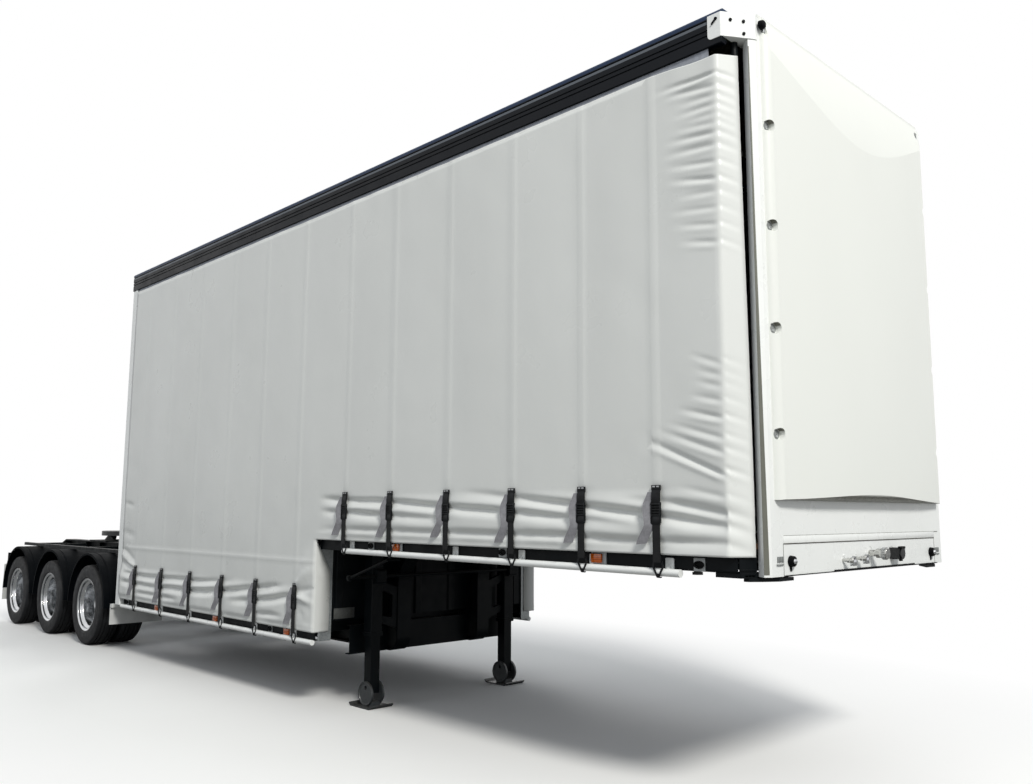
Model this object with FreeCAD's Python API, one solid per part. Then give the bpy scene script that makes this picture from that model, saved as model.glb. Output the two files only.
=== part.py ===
import FreeCAD, Part
import math
import os

# Drop-deck curtain-sided lead semi trailer, parked on its landing legs and tri-axle group.
# Millimetres. +X forward, +Y left, +Z up. The ground is z = 0 and the origin is below the middle.
# Fore-and-aft places are given as "s", the distance behind the face of the front wall.

# ---------------------------------------------------------------- overall sizes
WIDTH = 2500.0             # over the curtains
HEIGHT = 4300.0            # ground to the top of the roof rails
UPPER_DECK = 1417.0        # top of the raised front floor
LOWER_DECK = 720.0         # top of the low rear floor
STEP_S = 4020.0            # front face of the bulkhead between the decks
BODY_REAR_S = 8090.0       # rear face of the load space
COUPLING_REACH = 110.0     # air couplings in front of the front wall
HALF = WIDTH / 2

# ---------------------------------------------------------------- tyres and wheels
AXLES = 3
TYRE_R = 464.0
TYRE_WIDE = 255.0
TYRE_SHOULDER = 22.0       # rounding of the tread edge
TWIN_GAP = 35.0            # between the walls of twin tyres
TYRE_INSET = 7.0           # outer tyre wall inside the overall width
RIM_SEAT = 286.0           # radius of the bead seats
RIM_FLANGE = 18.0          # height of the rim lips over the seats
RIM_DROP = 34.0            # depth of the rim well under the seats
RIM_PLATE = 9.0
RIM_WIDE = TYRE_WIDE - 25
DISC_THICK = 20.0
DISC_BORE_R = 110.0
HAND_HOLES = 10
HAND_HOLE_R = 27.0
HAND_HOLE_PCR = 203.0      # radius of the circle that the hand holes lie on
SPINDLE_R = 45.0
BEARING_GAP = 0.3          # between the spindle and the hub's bore
HUB_FLANGE_R = 180.0
HUB_BARREL_R = 104.0
HUB_CAP_R = 62.0
HUB_REACH = 300.0          # hub's inner end from the mid-plane of the twins
DRUM_WALL = 16.0
DRUM_CLEAR = 35.0          # between the drum and the rim well
DRUM_LONG = 215.0

TWIN_PITCH = TYRE_WIDE + TWIN_GAP
WHEEL_MID = HALF - TYRE_INSET - TYRE_WIDE / 2 - TWIN_PITCH / 2
RIM_LIP = RIM_SEAT + RIM_FLANGE
RIM_WELL = RIM_SEAT - RIM_DROP
HUB_BORE = SPINDLE_R + BEARING_GAP
DRUM_R = RIM_WELL - RIM_PLATE - DRUM_CLEAR

# ---------------------------------------------------------------- axle group
GUARD_CLEAR = 140.0        # tyre to mudguard
GUARD_SPACE = 134.0        # between neighbouring guards
GUARD_THICK = 4.0
GUARD_WIDE = 600.0
GUARD_LIP = 26.0
GUARD_INSET = 2.0          # guards inside the overall width
AXLE_SETBACK = 930.0       # body rear to the first axle
TAIL_MARGIN = 22.0         # last guard to the end of the chassis
GUARD_UNDER = 82.0         # top of the guards below the top of the tail

GUARD_R = TYRE_R + GUARD_CLEAR
AXLE_PITCH = 2 * GUARD_R + GUARD_SPACE
AXLE_S = BODY_REAR_S + AXLE_SETBACK
TAIL_S = AXLE_S + (AXLES - 1) * AXLE_PITCH + GUARD_R + TAIL_MARGIN
FRONT_X = (TAIL_S - COUPLING_REACH) / 2

# ---------------------------------------------------------------- decks
FLOOR_THICK = 28.0
BULKHEAD_THICK = 30.0
SWAGE_DEEP = 18.0          # ribs pressed forward in the bulkhead
RAVE_INSET = 50.0          # outer face of the side raves inside the curtains
RAVE_PLATE = 6.0
RAVE_FLANGE = 50.0
UPPER_RAVE_DEEP = 150.0
LOWER_RAVE_DEEP = 180.0

RAVE_FACE = HALF - RAVE_INSET
DECK_HALF = RAVE_FACE - RAVE_PLATE
LOWER_DECK_S = STEP_S + BULKHEAD_THICK
UPPER_UNDER = UPPER_DECK - FLOOR_THICK
LOWER_UNDER = LOWER_DECK - FLOOR_THICK

# ---------------------------------------------------------------- main beams
BEAM_Y = 450.0
BEAM_FLANGE = 140.0
BEAM_PLATE = 14.0
BEAM_WEB = 10.0
NECK_DEEP = 139.0
LOW_DEEP = 282.0
TAIL_DEEP = 260.0
NECK_SETBACK = 75.0        # front wall to the front end of the beams
DROP_LONG = 160.0          # length of the upright leg at the drop
RISE_GAP = 20.0            # body rear to the upright leg behind it
RISE_LONG = 290.0
NECK_BEND = 300.0
HEEL_BEND = 110.0
TAIL_BEND = 18.0
INNER_BEND = 60.0
TAIL_RAMP_LONG = 320.0     # sloping end of the tail beams
TAIL_RAMP_DROP = 90.0
TAIL_BAR = 40.0            # thickness of the bar across the tail
TAIL_BAR_DEEP = 160.0
TAIL_BAR_DROP = 90.0       # lower edge of the bar below the beams
STIFFENER = 10.0
STIFFENER_INSET = 8.0      # edge of the web stiffeners inside the flanges

NECK_BOTTOM = UPPER_UNDER - NECK_DEEP
LOW_BOTTOM = LOWER_UNDER - LOW_DEEP
TAIL_TOP = TYRE_R + GUARD_R + GUARD_UNDER
TAIL_BOTTOM = TAIL_TOP - TAIL_DEEP
DROP_S = STEP_S - DROP_LONG
RISE_S = BODY_REAR_S + RISE_GAP
RISE_REAR_S = RISE_S + RISE_LONG
BEAM_INNER = BEAM_Y - BEAM_FLANGE / 2
BEAM_OUTER = BEAM_Y + BEAM_FLANGE / 2

# ---------------------------------------------------------------- cross members
MEMBER_WIDE = 50.0
MEMBER_PLATE = 5.0
MEMBER_BEND = 8.0
UPPER_MEMBER_DEEP = 80.0
LOWER_MEMBER_DEEP = 100.0
UPPER_MEMBERS = 10
LOWER_MEMBERS = 11
UPPER_FIRST_S = 220.0
UPPER_LAST_S = STEP_S - 320
LOWER_FIRST_S = LOWER_DECK_S + 70
LOWER_LAST_S = BODY_REAR_S - 175
SILL_LONG = 60.0
SILL_HALF = 900.0
SILL_PLATE = 6.0
TANK_R = 110.0
TANK_LONG = 720.0
TANK_DOME = 45.0

# ---------------------------------------------------------------- body shell
CORNER_CUT = 162.0         # width taken off each side by the cut-off front corners
CORNER_S = 105.0           # where the cut-off corner meets the side
WALL_THICK = 30.0
POST_FACE = 45.0           # width of the white corner post along the cut-off corner
POST_DEEP = 60.0
ROOF_RAIL_DEEP = 200.0
ROOF_RAIL_WIDE = 110.0
ROOF_RAIL_WEB = 46.0
ROOF_RAIL_OUT = 6.0        # how far the rail stands outside the curtain
CORNER_CAP_DEEP = 140.0    # depth of the cap over each cut-off corner
CORNER_CAP_BELOW = 25.0    # its top below the top of the rails
CORNER_CAP_PLATE = 5.0
CORNER_CAP_EDGE = 5.0      # start of the cap's plate outside the front wall
CORNER_CAP_WING = 85.0     # how far the cap laps along the roof rail
ROOF_THICK = 20.0
ROOF_BELOW = 5.0           # roof sheet below the top of the rails
ROOF_BOWS = 7
BOW_DEEP = 40.0
REAR_POST_LONG = 120.0
REAR_POST_WIDE = 90.0
POST_BEND = 12.0
REAR_SWAGES = 6

WALL_HALF = HALF - CORNER_CUT
WALL_REACH = WALL_HALF - WALL_THICK
CAP_TOP = HEIGHT - CORNER_CAP_BELOW
CAP_BOTTOM = CAP_TOP - CORNER_CAP_DEEP

# ---------------------------------------------------------------- front fairing
FAIRING_ABOVE = 223.0      # its lower edge above the upper floor
FAIRING_BELOW = 20.0       # its top edge below the roof
FAIRING_INSET = 13.0       # its edges inside the corner posts
FAIRING_CROWN = 82.0       # depth at the middle
FAIRING_EDGE = 42.0        # depth where the side rolls back to the wall
FAIRING_ROLL = 60.0        # width of that roll
FAIRING_ROOF = 930.0       # height over which it fades into the roof
POCKET_R = 32.0            # pockets for the fixings along each edge
FAIRING_LIP = 55.0         # height of the rolled lower lip
POCKETS = 5
POCKET_FIRST = 338.0       # first pocket above the lower edge
POCKET_PITCH = 559.0
POCKET_EDGE = 26.0         # pocket centres inside the edge

FAIRING_HALF = WALL_REACH - FAIRING_INSET

# ---------------------------------------------------------------- curtains and straps
CURTAIN_THICK = 4.0
UPPER_HEM_DROP = 69.0      # hems below the decks
LOWER_HEM_DROP = 108.0
DROP_LAP = 20.0            # curtain's drop edge ahead of the bulkhead
CURTAIN_RETURN = 145.0
FRONT_RETURN = 141.0
RETURN_BELOW = 30.0        # top of that return below the top of the side
CURTAIN_SETBACK = 45.0     # curtain's corner behind the corner of the frame
POLE_R = 20.0
STRAP_WIDE = 45.0
STRAP_THICK = 3.0
STRAP_ABOVE = 359.0        # upper end of the webbing above the hem
BUCKLE_LONG = 100.0
BUCKLE_DEEP = 17.0
TIE_RAIL_R = 21.2
TIE_RAIL_INSET = 22.0
UPPER_TIE_DROP = 148.0     # rear ends of the tie rails below the decks
LOWER_TIE_DROP = 190.0
UPPER_TIE_FALL = 16.0      # front end of the upper rail below its rear end

CURTAIN_TOP = HEIGHT - ROOF_RAIL_DEEP
UPPER_HEM = UPPER_DECK - UPPER_HEM_DROP
LOWER_HEM = LOWER_DECK - LOWER_HEM_DROP
DROP_CORNER_S = STEP_S - DROP_LAP
TIE_RAIL_Y = HALF - TIE_RAIL_INSET
CURTAIN_END_S = BODY_REAR_S - REAR_POST_LONG
CURTAIN_S = CORNER_S + CURTAIN_SETBACK
# one row for each deck: hem height, rail height at its rear end, its fall to the front end, rail ends,
# first and last strap, how far each bracket stands behind its strap, and where the straps lie between
# the first and the last
TIE_ROWS = (
    (UPPER_HEM, UPPER_DECK - UPPER_TIE_DROP, UPPER_TIE_FALL, CURTAIN_S + 310, DROP_CORNER_S - 370,
     CURTAIN_S + 442, DROP_CORNER_S - 404, -45, (0.0, 0.181, 0.378, 0.591, 0.805, 1.0)),
    (LOWER_HEM, LOWER_DECK - LOWER_TIE_DROP, 0.0, DROP_CORNER_S + 40, CURTAIN_END_S - 20,
     DROP_CORNER_S + 291, CURTAIN_END_S - 400, 60, (0.0, 0.199, 0.392, 0.595, 0.796, 1.0)),
)

# ---------------------------------------------------------------- suspension and brakes
AXLE_R = 65.0
HANGER_LEAD = 490.0        # hanger bolt ahead of its axle
HANGER_FOOT = 40.0         # lower end of the hangers below their bolt
HANGER_WIDE = 130.0
ARM_WIDE = 90.0
ARM_PIN_R = 20.0
ARM_PIN_UP = 136.0         # hanger bolt above the axle centre
ARM_GAP = 1.0              # each side of the arm inside its hanger
BAG_BEHIND = 335.0         # air spring behind its axle
BAG_R = 120.0
PISTON_R = 82.0
PISTON_HIGH = 120.0
SEAT_UP = 31.0             # air spring seat above the axle centre
SEAT_PLATE = 25.0
CAMSHAFT_R = 18.0
CAMSHAFT_BEHIND = 95.0
DUST_PLATE = 8.0
DUST_GAP = 5.0             # between the dust plate and the brake drum
CHAMBER_Y = 230.0
CHAMBER_R = 82.0
CHAMBER_LONG = 190.0
SLACK_THICK = 26.0
SLACK_R = 28.0
SLACK_LONG = 150.0
PUSHROD_R = 9.0
SHOCK_SPACE = 10.0         # between each shock absorber and the beam flange
SHOCK_R = 36.0
SHOCK_EYE_R = 28.0
SHOCK_PIN_R = 14.0
SHOCK_FOOT = 150.0         # lower eye behind the axle
SHOCK_LEAN = 180.0         # upper eye ahead of the lower one
SHOCK_HEAD = 90.0          # upper eye above the underside of the beams
GUARD_RAIL_INSET = 250.0   # outer face of the guard rail inside the overall width
GUARD_RAIL_WIDE = 50.0
GUARD_RAIL_DEEP = 40.0
GUARD_ARM_AHEAD = 380.0    # arms of the guard rail ahead of each axle
GUARD_ARM_BEHIND = 246.0   # last arm behind the last axle

# ---------------------------------------------------------------- mudflaps and tail
FLAP_THICK = 6.0
FLAP_WIDE = 600.0
FLAP_INSET = 8.0
FLAP_BEHIND = 130.0        # front flap behind the front flange of the rise
FLAP_LONG = 230.0
FLAP_ABOVE = 120.0         # top of the front flap above the low beams
REAR_FLAP_CLEAR = 300.0    # lower edge of the rear flap above the ground
LAMP_R = 62.0
LAMP_PITCH = 150.0
LAMPS = 3                  # on each side of the tail
LAMP_RECESS = 12.0

# ---------------------------------------------------------------- coupling gear
KINGPIN_S = 1200.0
KINGPIN_R = 25.4
KINGPIN_HEAD_R = 35.7
KINGPIN_FLANGE_R = 45.4
KINGPIN_LONG = 84.0
KINGPIN_HEAD = 18.0
KINGPIN_NECK = 34.0
SKID_THICK = 10.0
SKID_HALF = BEAM_OUTER
SKID_FRONT_S = 80.0
SKID_REAR_S = 1650.0
SKID_NOSE = 60.0           # length of the ramped front edge
TURNTABLE_BEHIND = 338.0   # turntable behind the middle axle
TURNTABLE_UP = 140.0       # its face above the tail beams
TURNTABLE_R = 460.0
TURNTABLE_THICK = 38.0
SKIRT_DEEP = 26.0
THROAT_GAP = 3.0           # between the kingpin and the throat
THROAT_MOUTH = 230.0
RAMP_LONG = 130.0          # sloped rear edges beside the throat
BASE_THICK = 16.0
BASE_HALF_LONG = 300.0
PEDESTAL_Y = 345.0         # inner face of each turntable pedestal
PEDESTAL_WIDE = 40.0
PEDESTAL_TOP_R = 32.0
PIVOT_UP = 54.0
PIVOT_R = 18.0
PIVOT_GAP = 0.3
LUG_WIDE = 39.0
LUG_GAP = 6.0              # between each lug and its pedestal

SKID_BOTTOM = NECK_BOTTOM - SKID_THICK
TURNTABLE_S = AXLE_S + AXLE_PITCH + TURNTABLE_BEHIND
TURNTABLE_TOP = TAIL_TOP + TURNTABLE_UP
PIVOT_Z = TAIL_TOP + PIVOT_UP

# ---------------------------------------------------------------- landing legs
LEG_LEAD = 130.0           # leg centre ahead of the bulkhead
LEG_Y = 750.0
LEG_BOX = 110.0
LEG_WALL = 9.5
LEG_CORNER = 8.0
SLIDE_GAP = 0.5            # between the inner leg and its box
OUTER_LEG = 690.0          # length of the outer box
LEG_LAP = 490.0            # how far the inner leg reaches up into its box
FOOT_LONG = 300.0
FOOT_WIDE = 230.0
FOOT_PLATE = 10.0
CHEEK_R = 95.0
CHEEK_THICK = 12.0
CHEEK_RIM = 10.0
DRIVE_BELOW = 208.0        # cross shaft below the head of the legs
DRIVE_LONG = 60.0
DRIVE_WIDE = 90.0
DRIVE_HIGH = 120.0
SHAFT_R = 14.0
CRANK_R = 11.0
CRANK_REACH = 255.0        # crank pivot outside the gear head
CRANK_LONG = 515.0         # folded crank, along the trailer
CRANK_RISE = 165.0

LEG_S = STEP_S - LEG_LEAD
LEG_SPLIT = NECK_BOTTOM - OUTER_LEG
DRIVE_Z = NECK_BOTTOM - DRIVE_BELOW
LEG_INNER = LEG_BOX - 2 * (LEG_WALL + SLIDE_GAP)

# ---------------------------------------------------------------- couplings on the front panel
# across, height, body radius; the last row is the socket
COUPLINGS = (
    (-320.0, NECK_BOTTOM + 62, 16.0),
    (-160.0, NECK_BOTTOM + 68, 16.0),
    (20.0, NECK_BOTTOM + 92, 32.0),
    (320.0, NECK_BOTTOM + 83, 35.0),
)


def at(s, y, z):
    """A point given by its distance behind the front wall."""
    return FreeCAD.Vector(FRONT_X - s, y, z)


def block(s0, s1, y0, y1, z0, z1):
    """A plain block between two places on each axis."""
    corner = at(max(s0, s1), min(y0, y1), min(z0, z1))
    return Part.makeBox(abs(s1 - s0), abs(y1 - y0), abs(z1 - z0), corner)


def rounded_wire(points, place):
    """A closed wire of (a, b, radius) corners, each rounded with a tangent arc."""
    edges = []
    ends = []
    count = len(points)
    for index in range(count):
        a, b, radius = points[index]
        following = points[(index + 1) % count]
        here = FreeCAD.Vector(a, b, 0)
        before = FreeCAD.Vector(points[index - 1][0], points[index - 1][1], 0) - here
        after = FreeCAD.Vector(following[0], following[1], 0) - here
        before.normalize()
        after.normalize()
        if radius <= 0:
            ends.append((here, here, None))
            continue
        half_angle = before.getAngle(after) / 2
        reach = radius / math.tan(half_angle)
        middle = before + after
        middle.normalize()
        crown = here + middle * (radius / math.sin(half_angle) - radius)
        ends.append((here + before * reach, here + after * reach, crown))
    for index in range(count):
        start, finish, crown = ends[index]
        if crown is not None:
            edges.append(Part.Arc(place(start), place(crown), place(finish)).toShape())
        following = ends[(index + 1) % count][0]
        if (following - finish).Length > 1e-6:
            edges.append(Part.makeLine(place(finish), place(following)))
    return Part.Wire(edges)


def side_prism(points, y0, y1):
    """A plate of (s, z, radius) corners in side view, from y0 to y1."""
    wire = rounded_wire(points, lambda p: at(p.x, y0, p.y))
    return Part.Face(wire).extrude(FreeCAD.Vector(0, y1 - y0, 0))


def plan_prism(points, z0, z1):
    """A plate of (s, y, radius) corners seen from above, from z0 to z1."""
    wire = rounded_wire(points, lambda p: at(p.x, p.y, z0))
    return Part.Face(wire).extrude(FreeCAD.Vector(0, 0, z1 - z0))


def section_prism(points, s0, s1):
    """A bar of (y, z, radius) corners in end view, from s0 to s1."""
    wire = rounded_wire(points, lambda p: at(s0, p.x, p.y))
    return Part.Face(wire).extrude(FreeCAD.Vector(s0 - s1, 0, 0))


def rounded_box(s, y, long, wide, corner, z0, z1):
    """A square tube's outer form, standing upright on its centre line."""
    return plan_prism([
        (s - long / 2, y - wide / 2, corner),
        (s + long / 2, y - wide / 2, corner),
        (s + long / 2, y + wide / 2, corner),
        (s - long / 2, y + wide / 2, corner),
    ], z0, z1)


def turned(points, s, z, way=1):
    """A ring of (y, radius, rounding) corners turned about a crosswise line at s, z."""
    wire = rounded_wire(points, lambda p: at(s, way * p.x, z + p.y))
    return Part.Face(wire).revolve(at(s, 0, z), FreeCAD.Vector(0, 1, 0), 360)


def spun(points, s, y):
    """A ring of (radius, z, rounding) corners turned about an upright line at s, y."""
    wire = rounded_wire(points, lambda p: at(s - p.x, y, p.y))
    return Part.Face(wire).revolve(at(s, y, 0), FreeCAD.Vector(0, 0, 1), 360)


def bored(points, y, z):
    """A ring of (s, radius, rounding) corners turned about a fore-and-aft line at y, z."""
    wire = rounded_wire(points, lambda p: at(p.x, y, z + p.y))
    return Part.Face(wire).revolve(at(0, y, z), FreeCAD.Vector(1, 0, 0), 360)


def rod(radius, s, y0, y1, z):
    """A round bar lying across the trailer."""
    return Part.makeCylinder(radius, abs(y1 - y0), at(s, min(y0, y1), z), FreeCAD.Vector(0, 1, 0))


def upright(radius, s, y, z0, z1):
    """A round bar standing on its end."""
    return Part.makeCylinder(radius, z1 - z0, at(s, y, z0))


def forward_rod(radius, y, z, s0, s1):
    """A round bar along the trailer, from s0 back to s1."""
    return Part.makeCylinder(radius, s1 - s0, at(s1, y, z), FreeCAD.Vector(1, 0, 0))


def slanted_rod(radius, start, end):
    """A round bar from one point to another."""
    return Part.makeCylinder(radius, (end - start).Length, start, end - start)


def mirrored(shape):
    return shape.mirror(FreeCAD.Vector(0, 0, 0), FreeCAD.Vector(0, 1, 0))


def fused(shapes):
    return shapes[0].multiFuse(shapes[1:]).removeSplitter() if len(shapes) > 1 else shapes[0]


def inset(points, depth):
    """The same outline moved inwards, its roundings kept concentric."""
    count = len(points)
    area = sum(points[i - 1][0] * points[i][1] - points[i][0] * points[i - 1][1] for i in range(count))
    turn = 1 if area > 0 else -1
    moved = []
    for index in range(count):
        a, b, radius = points[index]
        following = points[(index + 1) % count]
        here = FreeCAD.Vector(a, b, 0)
        before = here - FreeCAD.Vector(points[index - 1][0], points[index - 1][1], 0)
        after = FreeCAD.Vector(following[0], following[1], 0) - here
        before.normalize()
        after.normalize()
        in_before = FreeCAD.Vector(-before.y, before.x, 0) * turn
        in_after = FreeCAD.Vector(-after.y, after.x, 0) * turn
        middle = in_before + in_after
        shift = middle * (depth / (middle.Length ** 2 / 2))
        convex = (before.x * after.y - before.y * after.x) * turn > 0
        new_radius = radius + (-depth if convex else depth) if radius > 0 else 0
        moved.append((a + shift.x, b + shift.y, max(new_radius, 0)))
    return moved


def spaced(first, last, count):
    """Evenly spaced places from first to last."""
    return [first + (last - first) * index / (count - 1) for index in range(count)]


def save(name, shapes):
    """Write one node, with all its solids, to parts/."""
    solids = []
    for shape in shapes if isinstance(shapes, list) else [shapes]:
        solids.extend(shape.Solids)
    shape = solids[0] if len(solids) == 1 else Part.makeCompound(solids)
    shape.exportStep("parts/" + name + ".step")
    print(name, len(solids), "solids", len(shape.Faces), "faces", "valid" if shape.isValid() else "INVALID")


def pair(*shapes):
    """The right-hand shapes as built, with their mirror images on the left."""
    return list(shapes) + [mirrored(shape) for shape in shapes]


def axle_place(index):
    """How far behind the front wall an axle lies."""
    return AXLE_S + index * AXLE_PITCH


# ================================================================ chassis
def main_beam():
    """The right-hand beam: neck, drop, low deck, rise and tail in one fabricated I-section."""
    outline = [
        (NECK_SETBACK, UPPER_UNDER, 0),
        (STEP_S, UPPER_UNDER, 0),
        (STEP_S, LOWER_UNDER, 0),
        (RISE_S, LOWER_UNDER, 0),
        (RISE_S, TAIL_TOP, INNER_BEND),
        (TAIL_S - TAIL_RAMP_LONG, TAIL_TOP, 0),
        (TAIL_S - TAIL_BAR, TAIL_TOP - TAIL_RAMP_DROP, 0),
        (TAIL_S - TAIL_BAR, TAIL_BOTTOM, 0),
        (RISE_REAR_S, TAIL_BOTTOM, TAIL_BEND),
        (RISE_REAR_S, LOW_BOTTOM, HEEL_BEND),
        (DROP_S, LOW_BOTTOM, HEEL_BEND),
        (DROP_S, NECK_BOTTOM, NECK_BEND),
        (NECK_SETBACK, NECK_BOTTOM, 0),
    ]
    whole = side_prism(outline, -BEAM_OUTER, -BEAM_INNER)
    core = side_prism(inset(outline, BEAM_PLATE), -BEAM_OUTER, -BEAM_INNER)
    web = block(0, TAIL_S, -BEAM_Y - BEAM_WEB / 2, -BEAM_Y + BEAM_WEB / 2, 0, HEIGHT)
    stations = [KINGPIN_S - 250, KINGPIN_S + 250, (KINGPIN_S + DROP_S) / 2]
    stations += spaced(LOWER_FIRST_S, LOWER_LAST_S, (LOWER_MEMBERS + 1) // 2)
    for index in range(AXLES):
        stations += [axle_place(index) - HANGER_LEAD, axle_place(index) + BAG_BEHIND]
    kept = [web]
    for s in stations:
        kept.append(block(s - STIFFENER / 2, s + STIFFENER / 2, -BEAM_OUTER + STIFFENER_INSET,
                          -BEAM_INNER - STIFFENER_INSET, 0, HEIGHT))
    return whole.cut(core.cut(fused(kept)))


def channel(s, y0, y1, top, deep):
    """A C-section cross member, open to the rear."""
    bottom = top - deep
    inner = MEMBER_BEND - MEMBER_PLATE
    return side_prism([
        (s + MEMBER_WIDE, top, 0),
        (s, top, MEMBER_BEND),
        (s, bottom, MEMBER_BEND),
        (s + MEMBER_WIDE, bottom, 0),
        (s + MEMBER_WIDE, bottom + MEMBER_PLATE, 0),
        (s + MEMBER_PLATE, bottom + MEMBER_PLATE, inner),
        (s + MEMBER_PLATE, top - MEMBER_PLATE, inner),
        (s + MEMBER_WIDE, top - MEMBER_PLATE, 0),
    ], y0, y1)


def cross_members(first, last, count, top, deep):
    """Rows of channels: rave to beam, beam to beam, beam to rave."""
    pieces = []
    for s in spaced(first, last, count):
        for y0, y1 in ((-DECK_HALF, -BEAM_OUTER), (-BEAM_INNER, BEAM_INNER), (BEAM_OUTER, DECK_HALF)):
            pieces.append(channel(s, y0, y1, top, deep))
    return pieces


def step_sills():
    """Deep channels that close the front of the low chassis, beside and between the beams."""
    pieces = []
    top = LOWER_UNDER - LOWER_MEMBER_DEEP / 2
    for y0, y1 in ((-SILL_HALF, -BEAM_OUTER), (-BEAM_INNER, BEAM_INNER), (BEAM_OUTER, SILL_HALF)):
        sill = block(DROP_CORNER_S, DROP_CORNER_S + SILL_LONG, y0, y1, LOW_BOTTOM, top)
        hollow = block(DROP_CORNER_S + SILL_PLATE, DROP_CORNER_S + SILL_LONG, y0, y1,
                       LOW_BOTTOM + SILL_PLATE, top - SILL_PLATE)
        pieces.append(sill.cut(hollow))
    return pieces


def rave(s0, s1, top, deep):
    """Right-hand side rave: a pressed plate with a bottom flange."""
    bottom = top - deep
    return section_prism([
        (-RAVE_FACE, top, 0),
        (-RAVE_FACE, bottom, 2 * RAVE_PLATE),
        (-RAVE_FACE + RAVE_FLANGE, bottom, 0),
        (-RAVE_FACE + RAVE_FLANGE, bottom + RAVE_PLATE, 0),
        (-DECK_HALF, bottom + RAVE_PLATE, RAVE_PLATE),
        (-DECK_HALF, top, 0),
    ], s0, s1)


def upper_floor():
    """The raised floor, its front corners cut back inside the corner posts."""
    corner = CORNER_S + 25
    return plan_prism([
        (NECK_SETBACK, -WALL_HALF, 0),
        (corner, -DECK_HALF, 0),
        (LOWER_DECK_S, -DECK_HALF, 0),
        (LOWER_DECK_S, DECK_HALF, 0),
        (corner, DECK_HALF, 0),
        (NECK_SETBACK, WALL_HALF, 0),
    ], UPPER_UNDER, UPPER_DECK)


def lower_floor():
    """The low floor, notched round the rear posts."""
    notch = HALF - REAR_POST_WIDE
    rear = BODY_REAR_S - WALL_THICK
    half = [(LOWER_DECK_S, -DECK_HALF, 0), (CURTAIN_END_S, -DECK_HALF, 0), (CURTAIN_END_S, -notch, 0),
            (rear, -notch, 0)]
    other = [(s, -y, radius) for s, y, radius in reversed(half)]
    return plan_prism(half + other, LOWER_UNDER, LOWER_DECK)


def bulkhead():
    """The step between the decks, one plate with upright swages pressed forward."""
    swage = 60.0
    slope = 10.0
    middles = [-(BEAM_OUTER + DECK_HALF) / 2 - 150, -(BEAM_OUTER + DECK_HALF) / 2 + 150, -BEAM_INNER / 2]
    middles += [-y for y in reversed(middles)]
    back = STEP_S + BULKHEAD_THICK
    outline = [(back, DECK_HALF, 0), (back, -DECK_HALF, 0), (STEP_S, -DECK_HALF, 0)]
    for y in middles:
        outline += [(STEP_S, y - swage / 2 - slope, 0), (STEP_S - SWAGE_DEEP, y - swage / 2, 4),
                    (STEP_S - SWAGE_DEEP, y + swage / 2, 4), (STEP_S, y + swage / 2 + slope, 0)]
    outline.append((STEP_S, DECK_HALF, 0))
    return plan_prism(outline, LOWER_UNDER, UPPER_UNDER)


def corner_apron(bottom):
    """Upright plate below the cut-off corner of the floor, with a ledge along it."""
    edge = FreeCAD.Vector(CORNER_S + 25 - NECK_SETBACK, DECK_HALF - WALL_HALF, 0)
    edge.normalize()
    inward = FreeCAD.Vector(edge.y, -edge.x, 0)
    first = FreeCAD.Vector(NECK_SETBACK + 3, WALL_HALF + 15, 0)
    last = first + edge * 100

    def strip(outer, inner, z0, z1):
        points = [first - inward * outer, last - inward * outer,
                  last + inward * inner, first + inward * inner]
        return plan_prism([(point.x, -point.y, 0) for point in points], z0, z1)

    return fused([strip(0, RAVE_PLATE, bottom, UPPER_UNDER), strip(6, RAVE_PLATE, bottom + 14, bottom + 21)])


def front_frame():
    """The channel across the front of the neck, and the stepped brackets under the cut-off corners."""
    reach = WALL_HALF - 40
    under = UPPER_DECK - UPPER_RAVE_DEEP
    inner = RAVE_FACE - 160
    side = RAVE_FACE - 8
    thick = 24.0
    step = 18.0
    bar = block(WALL_THICK, NECK_SETBACK, -reach, reach, NECK_BOTTOM, UPPER_DECK)
    corner = FreeCAD.Vector(NECK_SETBACK + 1, WALL_HALF + 12, 0)
    edge = FreeCAD.Vector(CORNER_S + 10, side, 0) - corner
    upper = plan_prism([
        (WALL_THICK, -reach, 0),
        (corner.x, -reach, 0),
        (corner.x, -corner.y, 0),
        (CORNER_S + 10, -side, 0),
        (CORNER_S + 162, -side, 0),
        (CORNER_S + 142, -side + 40, 0),
        (CORNER_S + 120, -inner, 20),
        (WALL_THICK, -WALL_HALF + 260, 0),
    ], under - thick, under)
    notches = []
    for share in (0.3, 0.5, 0.7):
        spot = corner + edge * share
        notches.append(block(spot.x - 7, spot.x + 7, -spot.y - 8, -spot.y + 14, under - thick + 6, under - 8))
    lower = plan_prism([
        (10, -WALL_HALF + 230, 0),
        (10, -WALL_HALF + 88, 0),
        (CORNER_S - 50, -WALL_HALF - 2, 0),
        (CORNER_S - 5, -side + 45, 0),
        (CORNER_S + 30, -side + 45, 10),
        (CORNER_S + 20, -inner + 20, 15),
    ], under - thick - step, under - thick)
    bracket = fused([upper.cut(Part.makeCompound(notches)), lower, corner_apron(under)])
    return fused([bar, bracket, mirrored(bracket)])


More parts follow.
